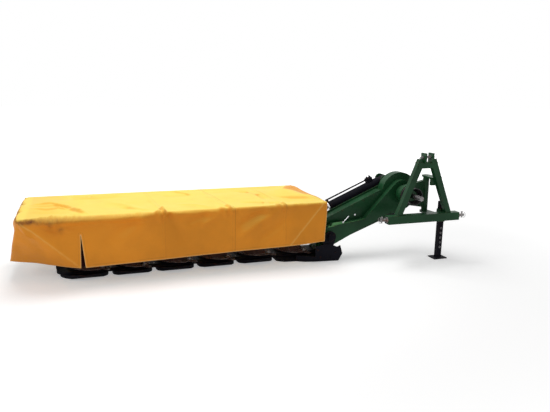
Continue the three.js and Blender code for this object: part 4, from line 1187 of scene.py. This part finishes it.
@dataclass
class ArmFittings:
    """Painted bolts of the belt guard, and the bright hand lever."""

    hinge: tuple = HINGE
    main: tuple = (-0.060, 0.660)
    guard_front: float = 0.3953
    back_face: float = 0.505
    lip_height: float = 0.026
    beam_front: float = 0.332

    def rim(self, t: float, side: float, low: float, high: float) -> tuple[float, float]:
        """Return a place beside the line from the hinge to the main pivot."""
        dx, dz = self.main[0] - self.hinge[0], self.main[1] - self.hinge[1]
        length = math.hypot(dx, dz)
        off = side * (low + (high - low) * t)
        return self.hinge[0] + dx * t - off * dz / length, self.hinge[1] + dz * t + off * dx / length

    @staticmethod
    def top_edge(x: float) -> float:
        """Return the height of the belt guard's top edge under the cylinder."""
        return 0.434 + (x - HINGE[0]) * 0.253 / 0.590

    def build(self, paint: bpy.types.Material, faded: bpy.types.Material, zinc: bpy.types.Material) -> None:
        """Build the pieces."""
        bolts = Fittings("arm_bolts", Body.ARM, "green")
        size = 0.0080
        for t in (0.16, 0.32, 0.48, 0.64, 0.80, 0.96):
            x, z = self.rim(t, -1.0, 0.094, 0.187)
            bolts.bolt(at(x, self.guard_front, z), FORE, size)
        for k in range(5):
            x = -0.830 + 0.118 * k
            bolts.bolt(at(x, self.guard_front, self.top_edge(x) - 0.016), FORE, size)
        for t in (0.12, 0.30, 0.50, 0.70, 0.88):
            x, z = self.rim(t, -1.0, 0.074, 0.082)
            bolts.bolt(at(x, self.back_face, z), AFT, size)
        bolts.finish(paint)
        lip = Fittings("guard_lip", Body.ARM, "green")
        ends = (-0.885, -0.245)
        low = [(x, self.top_edge(x) - depth) for x, depth in zip(ends, (0.006, 0.034))]
        high = [(x, self.top_edge(x) + self.lip_height - 0.006) for x in reversed(ends)]
        lip.prism([*low, *high], self.back_face - 0.0095, self.back_face - 0.0005)
        lip.finish(paint)
        # The stiffeners wear the lighter copy of the green paint, as painted light on their lit upper faces.
        rib = Fittings("arm_stiffeners", Body.ARM, "green")
        y = self.beam_front
        short = [(-0.868, 0.357), (-0.708, 0.378), (-0.735, 0.400), (-0.850, 0.388)]
        long = [(-0.905, 0.348), (-0.494, 0.401), (-0.494, 0.411), (-0.905, 0.358)]
        rib.prism(short, y - 0.0150, y - 0.0125, 0.42)
        rib.prism(long, y - 0.0175, y - 0.0145, 0.25)
        rib.finish(faded)
        bright = Fittings("arm_lever", Body.ARM, "chrome")
        bright.bolt(at(-0.5685, self.guard_front, 0.4439), FORE, 0.0075)
        low, high = at(-0.737, 0.322, 0.390), at(-0.676, 0.320, 0.4515)
        bright.tube([low, low.lerp(high, 0.5), high], 0.0040, 14)
        knob = [(0, -0.006), (0.0046, -0.005), (0.0050, 0.0), (0, 0.004)]
        bright.turned(high, high - low, knob, 16)
        bright.turned(low + Vector(AFT) * 0.010, FORE, [(0, 0), (0.008, 0), (0.008, 0.012), (0, 0.014)], 16)
        bright.finish(zinc)


@dataclass
class CylinderFittings:
    """Gland ring and port plugs of the lift cylinder."""

    top: tuple = (-0.170, 0.772)
    eye: tuple = (-1.020, 0.407)
    y: float = 0.575
    gland: float = 0.688

    def spot(self, along: float, height: float = 0.0) -> Vector:
        """Return a place along the cylinder's axis and above it."""
        dx, dz = self.eye[0] - self.top[0], self.eye[1] - self.top[1]
        length = math.hypot(dx, dz)
        dx, dz = dx / length, dz / length
        return at(self.top[0] + dx * along + dz * height, self.y, self.top[1] + dz * along - dx * height)

    def build(self, paint: bpy.types.Material, zinc: bpy.types.Material) -> None:
        """Build the pieces."""
        axis = self.spot(1.0) - self.spot(0.0)
        up = self.spot(0.3, 1.0) - self.spot(0.3, 0.0)
        ring = Fittings("gland_ring", Body.CYLINDER, "chrome")
        outside = [(0.0505, 0), (0.0525, 0.002), (0.0525, 0.016), (0.050, 0.019)]
        inside = [(0.040, 0.0195), (0.022, 0.0195), (0.022, 0.017), (0.0485, 0.0165)]
        ring.turned(self.spot(self.gland - 0.016), axis, outside + inside, 40)
        ring.finish(zinc)
        plugs = Fittings("port_plugs", Body.CYLINDER, "black")
        for along in (0.130, 0.165):
            plugs.bolt(self.spot(along, 0.085), up, 0.011)
            plug = [(0, 0), (0.0075, 0), (0.0075, 0.010), (0.005, 0.012), (0, 0.012)]
            plugs.turned(self.spot(along, 0.094), up, plug, 16)
        plugs.finish(paint)


@dataclass
class BarFittings:
    """Bolts of the cutter bar, gearbox, shoe and posts."""

    front: float = 0.530
    back: float = 0.700
    shoe_front: float = 0.292

    def build(self, steel: bpy.types.Material, paint: bpy.types.Material) -> None:
        """Build the pieces."""
        bolts = Fittings("bar_bolts", Body.BAR, "steel")
        for k in range(5):
            x = DISC_1_X + (k + 0.5) * DISC_PITCH
            bolts.bolt(at(x, 0.545, BAR_TOP), UP, 0.0068)
            bolts.bolt(at(x - 0.03, 0.700, BAR_TOP), UP, 0.0068)
        for x in (-0.935, -0.805):
            for y in (0.552, 0.618, 0.684):
                bolts.bolt(at(x, y, 0.074), UP, 0.0075)
        hinge_x, hinge_z = HINGE
        for k in range(8):
            a = math.radians(22.5 + 45 * k)
            x, z = hinge_x + 0.082 * math.cos(a), hinge_z + 0.082 * math.sin(a)
            bolts.bolt(at(x, self.back, z), AFT, 0.0085)
            if k in (0, 1, 2, 3, 4, 7):
                bolts.bolt(at(x, self.front, z), FORE, 0.0075)
        lid = [(0, 0), (0.060, 0), (0.060, 0.006), (0.050, 0.010), (0, 0.012)]
        bolts.turned(at(hinge_x, self.back, hinge_z), AFT, lid, 36)
        bolts.bolt(at(-0.880, 0.615, 0.348), UP, 0.013)
        for x in (-0.985, -0.91):
            for z in (0.215, 0.300):
                bolts.bolt(at(x, self.back + 0.0003, z), FORE, 0.0095)
        bolts.finish(steel)
        dark = Fittings("shoe_bolts", Body.BAR, "black")
        cap = [(0, 0), (0.036, 0), (0.036, 0.012), (0.031, 0.019), (0.018, 0.023), (0, 0.024)]
        dark.turned(at(hinge_x, self.shoe_front, hinge_z), FORE, cap, 32)
        for x, z in ((-0.985, 0.052), (-0.870, 0.048), (-1.015, 0.130), (-0.820, 0.095)):
            dark.bolt(at(x, self.shoe_front, z), FORE, 0.0085)
        for x in (-1.14, -1.10):
            dark.bolt(at(x, 0.398, 0.036), (-0.6, -0.8, 0.0), 0.008)
        dark.finish(paint)


@dataclass
class DiscFittings:
    """Cap, lifting ribs and knife bolts of one disc."""

    number: int
    knife_at: float = 0.168
    profile: tuple = ((0.040, 0.150), (0.072, 0.1418), (0.098, 0.1242), (0.118, 0.1010), (0.124, 0.0815))

    def build(self, rust: bpy.types.Material, steel: bpy.types.Material) -> None:
        """Build the pieces."""
        x = DISC_1_X + DISC_PITCH * (self.number - 1)
        turn = math.radians(142.0 if self.number % 2 else -52.0)

        def spot(r: float, a: float, z: float) -> Vector:
            """Return a place on the disc from its radius, angle and height."""
            return at(x + r * math.cos(a + turn), DISC_Y + r * math.sin(a + turn), z)

        disc = f"disc_{self.number}"
        ribs = Fittings(f"{disc}_ribs", disc, "rust")
        cap = [(0, 0), (0.036, 0), (0.034, 0.006), (0.024, 0.010), (0, 0.011)]
        ribs.turned(at(x, DISC_Y, 0.149), UP, cap, 28)
        radii, heights = zip(*self.profile)
        for k in range(4):
            path = []
            for i in range(13):
                r = 0.046 + (0.121 - 0.046) * i / 12
                path.append(spot(r, math.pi / 2 * k + 0.5 * i / 12, float(np.interp(r, radii, heights))))
            ribs.tube(path, 0.0055, 8)
        washer = [(0, 0), (0.024, 0), (0.022, 0.004), (0, 0.004)]
        for s in (0, 1):
            ribs.turned(spot(self.knife_at, math.pi * s, 0.0815), UP, washer, 24)
        ribs.finish(rust)
        bolts = Fittings(f"{disc}_bolts", disc, "steel")
        for s in (0, 1):
            bolts.bolt(spot(self.knife_at, math.pi * s, 0.0855), UP, 0.015)
        for k in range(4):
            bolts.bolt(spot(0.058, math.pi / 2 * k + 0.9, 0.1445), UP, 0.0070)
        bolts.finish(steel)


@dataclass
class HitchFittings:
    """Linch pins, handles and bolts of the headstock, stand and swath board."""

    span: float = 0.825
    pin_z: float = 0.460
    cross_y: float = 0.030
    mast_z: float = 1.070
    stand_x: float = 0.262
    stand_y: float = 0.1014

    def build(self, steel: bpy.types.Material) -> None:
        """Build the pieces."""
        pins = Fittings("hitch_linch_pins", Body.HEADSTOCK, "steel")
        for s in (-1, 1):
            pins.linch_pin(at(s * (self.span / 2 + 0.052), self.cross_y, self.pin_z), UP, (s, 0, 0))
        pins.linch_pin(at(0.060, self.cross_y - 0.014, self.mast_z), UP, IN, 0.005)
        y = self.cross_y - 0.014
        handle = ((-0.064, 0.0), (-0.082, 0.0), (-0.088, 0.006), (-0.090, 0.02), (-0.090, 0.10))
        pins.tube([at(x, y, self.mast_z - drop) for x, drop in handle], 0.006)
        for x, z in ((-0.31, 0.472), (-0.31, 0.448), (-0.19, 0.472), (-0.19, 0.448)):
            pins.bolt(at(x, 0.165, z), AFT, 0.0085)
        side = 0.0312  # how far the stand's sleeve reaches on each side
        spot = at(self.stand_x, self.stand_y, 0.425)
        head = [(0, 0), (0.013, 0), (0.013, 0.007), (0.010, 0.009), (0, 0.009)]
        tail = [(0, 0), (0.009, 0), (0.009, 0.022), (0.006, 0.025), (0, 0.025)]
        pins.turned(spot - Vector(IN) * side, OUT, head, 20)
        pins.turned(spot + Vector(IN) * side, IN, tail, 18)
        pins.linch_pin(spot + Vector(IN) * (side + 0.014), UP, IN, 0.0030)
        pins.finish(steel)
        stand = Fittings("stand_hole_rims", Body.STAND, "steel")
        rim = [(0.0075, 0), (0.0105, 0), (0.0105, 0.0005), (0.0075, 0.0005)]
        for k in range(5):
            stand.turned(at(self.stand_x, 0.0766, 0.12 + 0.05 * k), FORE, rim, 18)
        stand.finish(steel)
        board = Fittings("board_bolts", Body.SWATH, "steel")
        for h, z in ((0.030, 0.225), (0.030, 0.295), (0.16, 0.26), (0.30, 0.24)):
            t = (h - 0.012) / 0.458
            board.bolt(at(-3.5 - 0.006 + 0.120 * t - 0.0008, 0.850 + h, z), (-0.968, 0.253, 0.0), 0.008)
        board.finish(steel)


# ---------------------------------------------------------------- CAD nodes
@dataclass
class Frame:
    """The CAD nodes that stay and only get their finish."""

    green: Paint = Paint("green paint", (0.007, 0.056, 0.018), "green", roughness=0.36, rust=0.24, dust=0.12,
                         dust_colour=(0.10, 0.16, 0.10), coat=0.06, specular=0.14)
    # A lighter copy of the green paint, its dust colour too: painted light on the lit upper faces of the
    # stiffeners.
    faded: Paint = Paint("lit green paint", (0.115, 0.330, 0.125), "green", roughness=0.5, rust=0.2,
                         dust=0.1, dust_colour=(0.16, 0.22, 0.15), coat=0.0, specular=0.14)
    black: Paint = Paint("black paint", (0.004, 0.004, 0.008), "black", roughness=0.60, rust=0.28, dust=0.05,
                         mud=0.12, dust_colour=(0.07, 0.06, 0.05), coat=0.0, specular=0.06)
    board: Paint = Paint("board paint", (0.56, 0.35, 0.035), "board", roughness=0.5, dust=0.2, mud=0.42,
                         specular=0.3)
    rust: RustySteel = RustySteel("rusty disc", "rust")
    steel: BareSteel = BareSteel("bare steel", (0.30, 0.29, 0.29), "steel", 0.42, 0.42)
    chrome: BareSteel = BareSteel("chromed rod", (0.78, 0.78, 0.80), "chrome", 0.10, 0.08)
    plastic: Moulded = Moulded("guard plastic", (0.014, 0.014, 0.016), "plastic")

    def dress(self) -> dict[str, bpy.types.Material]:
        """Give every CAD node its finish.

        Returns:
            The materials by the record's slot names.
        """
        finishes = (self.green, self.black, self.board, self.rust, self.steel, self.chrome, self.plastic)
        made = {finish.slot: finish.build() for finish in finishes}
        slots = {row["node"]: row["material_slot"] for row in frame["record"]["subparts"]}
        for name, node in frame["nodes"].items():
            slot = slots.get(name)
            if slot not in made:
                continue
            node.data.materials.clear()
            node.data.materials.append(made[slot])
            log.info("%s: %s", name, slot)
        return made


# ---------------------------------------------------------------- stage
@dataclass
class Studio:
    """Pale floor, soft light and the camera."""

    place: Point = (-3.192, -4.599, 1.713)
    yaw: float = math.radians(19.31)
    pitch: float = math.radians(12.05)
    roll: float = math.radians(0.87)
    lens: float = 36.36
    sky: float = 0.42
    floor_half: float = 40.0

    @staticmethod
    def seen(g: Graph) -> bpy.types.NodeSocket:
        """Return 1 for what the camera sees, also in reflections or through something clear."""
        path = g.add("LightPath").outputs
        direct = g.math("MAXIMUM", path["Is Camera Ray"], path["Is Glossy Ray"])
        return g.math("MAXIMUM", direct, path["Is Transmission Ray"])

    def floor(self) -> None:
        """Lay the floor, white to the camera and in reflections, and keep its shadow."""
        s = self.floor_half
        corners = np.array([(-s, -s, 0), (s, -s, 0), (s, s, 0), (-s, s, 0)], float)
        plane = mesh_object("floor", corners, [(0, 1, 2, 3)])
        made, g, shader = new_material("pale floor")
        g.give(shader, {"Base Color": (0.80, 0.80, 0.80, 1), "Roughness": 0.9, "Specular IOR Level": 0.0})
        place = g.add("TexCoord").outputs["Object"]
        away = g.add("VectorMath", {0: place}, operation="LENGTH").outputs["Value"]
        glow = g.math("MULTIPLY", self.seen(g), g.ramp(away, 2.2, 7.0, (0.36, 1.0)))
        g.give(shader, {"Emission Color": (1.0, 1.0, 1.0, 1), "Emission Strength": glow})
        plane.data.materials.append(made)

    def world(self) -> None:
        """Light everything evenly and show white behind the object."""
        world = bpy.data.worlds.new("studio")
        bpy.context.scene.world = world
        world.use_nodes = True
        world.node_tree.nodes.clear()
        g = Graph(world.node_tree)
        strength = g.add("MapRange", {"Value": self.seen(g), "To Min": self.sky, "To Max": 1.0}).outputs[0]
        sky = g.add("Background", {"Color": (1.0, 1.0, 1.0, 1), "Strength": strength})
        g.add("OutputWorld", {0: sky.outputs[0]})

    def lamp(self, name: str, spot: Point, aim: Point, size: tuple, power: float) -> None:
        """Hang one soft lamp."""
        data = bpy.data.lights.new(name, "AREA")
        data.shape = "RECTANGLE"
        data.size, data.size_y = size
        data.energy = power
        lamp = bpy.data.objects.new(name, data)
        bpy.context.scene.collection.objects.link(lamp)
        lamp.location = at(*spot)
        lamp.rotation_mode = "QUATERNION"
        lamp.rotation_quaternion = (at(*aim) - at(*spot)).to_track_quat("-Z", "Y")

    def camera(self) -> None:
        """Set up the camera at the height and angle that the mower is seen from."""
        data = bpy.data.cameras.new("camera")
        data.sensor_width = 36.0
        data.lens = self.lens
        data.clip_end = 200.0
        camera = bpy.data.objects.new("camera", data)
        bpy.context.scene.collection.objects.link(camera)
        level = math.cos(self.pitch)
        ahead = Vector((math.sin(self.yaw) * level, math.cos(self.yaw) * level, -math.sin(self.pitch)))
        right = ahead.cross(Vector((0, 0, 1))).normalized()
        up = right.cross(ahead)
        x = right * math.cos(self.roll) + up * math.sin(self.roll)
        y = up * math.cos(self.roll) - right * math.sin(self.roll)
        turned = Matrix((x, y, -ahead)).transposed().to_4x4()
        turned.translation = at(*self.place)
        camera.matrix_world = turned
        bpy.context.scene.camera = camera

    def build(self) -> None:
        """Build the whole stage."""
        self.floor()
        self.world()
        self.lamp("overhead", (-2.4, 1.3, 5.0), (-1.8, 0.7, 0.4), (4.0, 2.0), 160.0)
        self.lamp("side", (-7.2, -1.6, 3.2), (-2.2, 0.4, 0.4), (1.6, 1.6), 38.0)
        self.camera()
        bpy.context.scene.view_settings.view_transform = "Standard"


def main() -> None:
    """Build the mower's looks and report each piece."""
    logging.basicConfig(level=logging.INFO, format="%(name)s: %(message)s")
    Studio().build()
    made = Frame().dress()
    Cover().mount()
    zinc = BareSteel("bright zinc", (0.80, 0.80, 0.82), "chrome", 0.22, 0.10).build()
    ArmFittings().build(made["green"], Frame.faded.build(), zinc)
    CylinderFittings().build(made["black"], zinc)
    BarFittings().build(made["steel"], made["black"])
    for number in range(1, 7):
        DiscFittings(number).build(made["rust"], made["steel"])
    HitchFittings().build(made["steel"])
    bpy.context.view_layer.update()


if __name__ == "__main__":
    main()
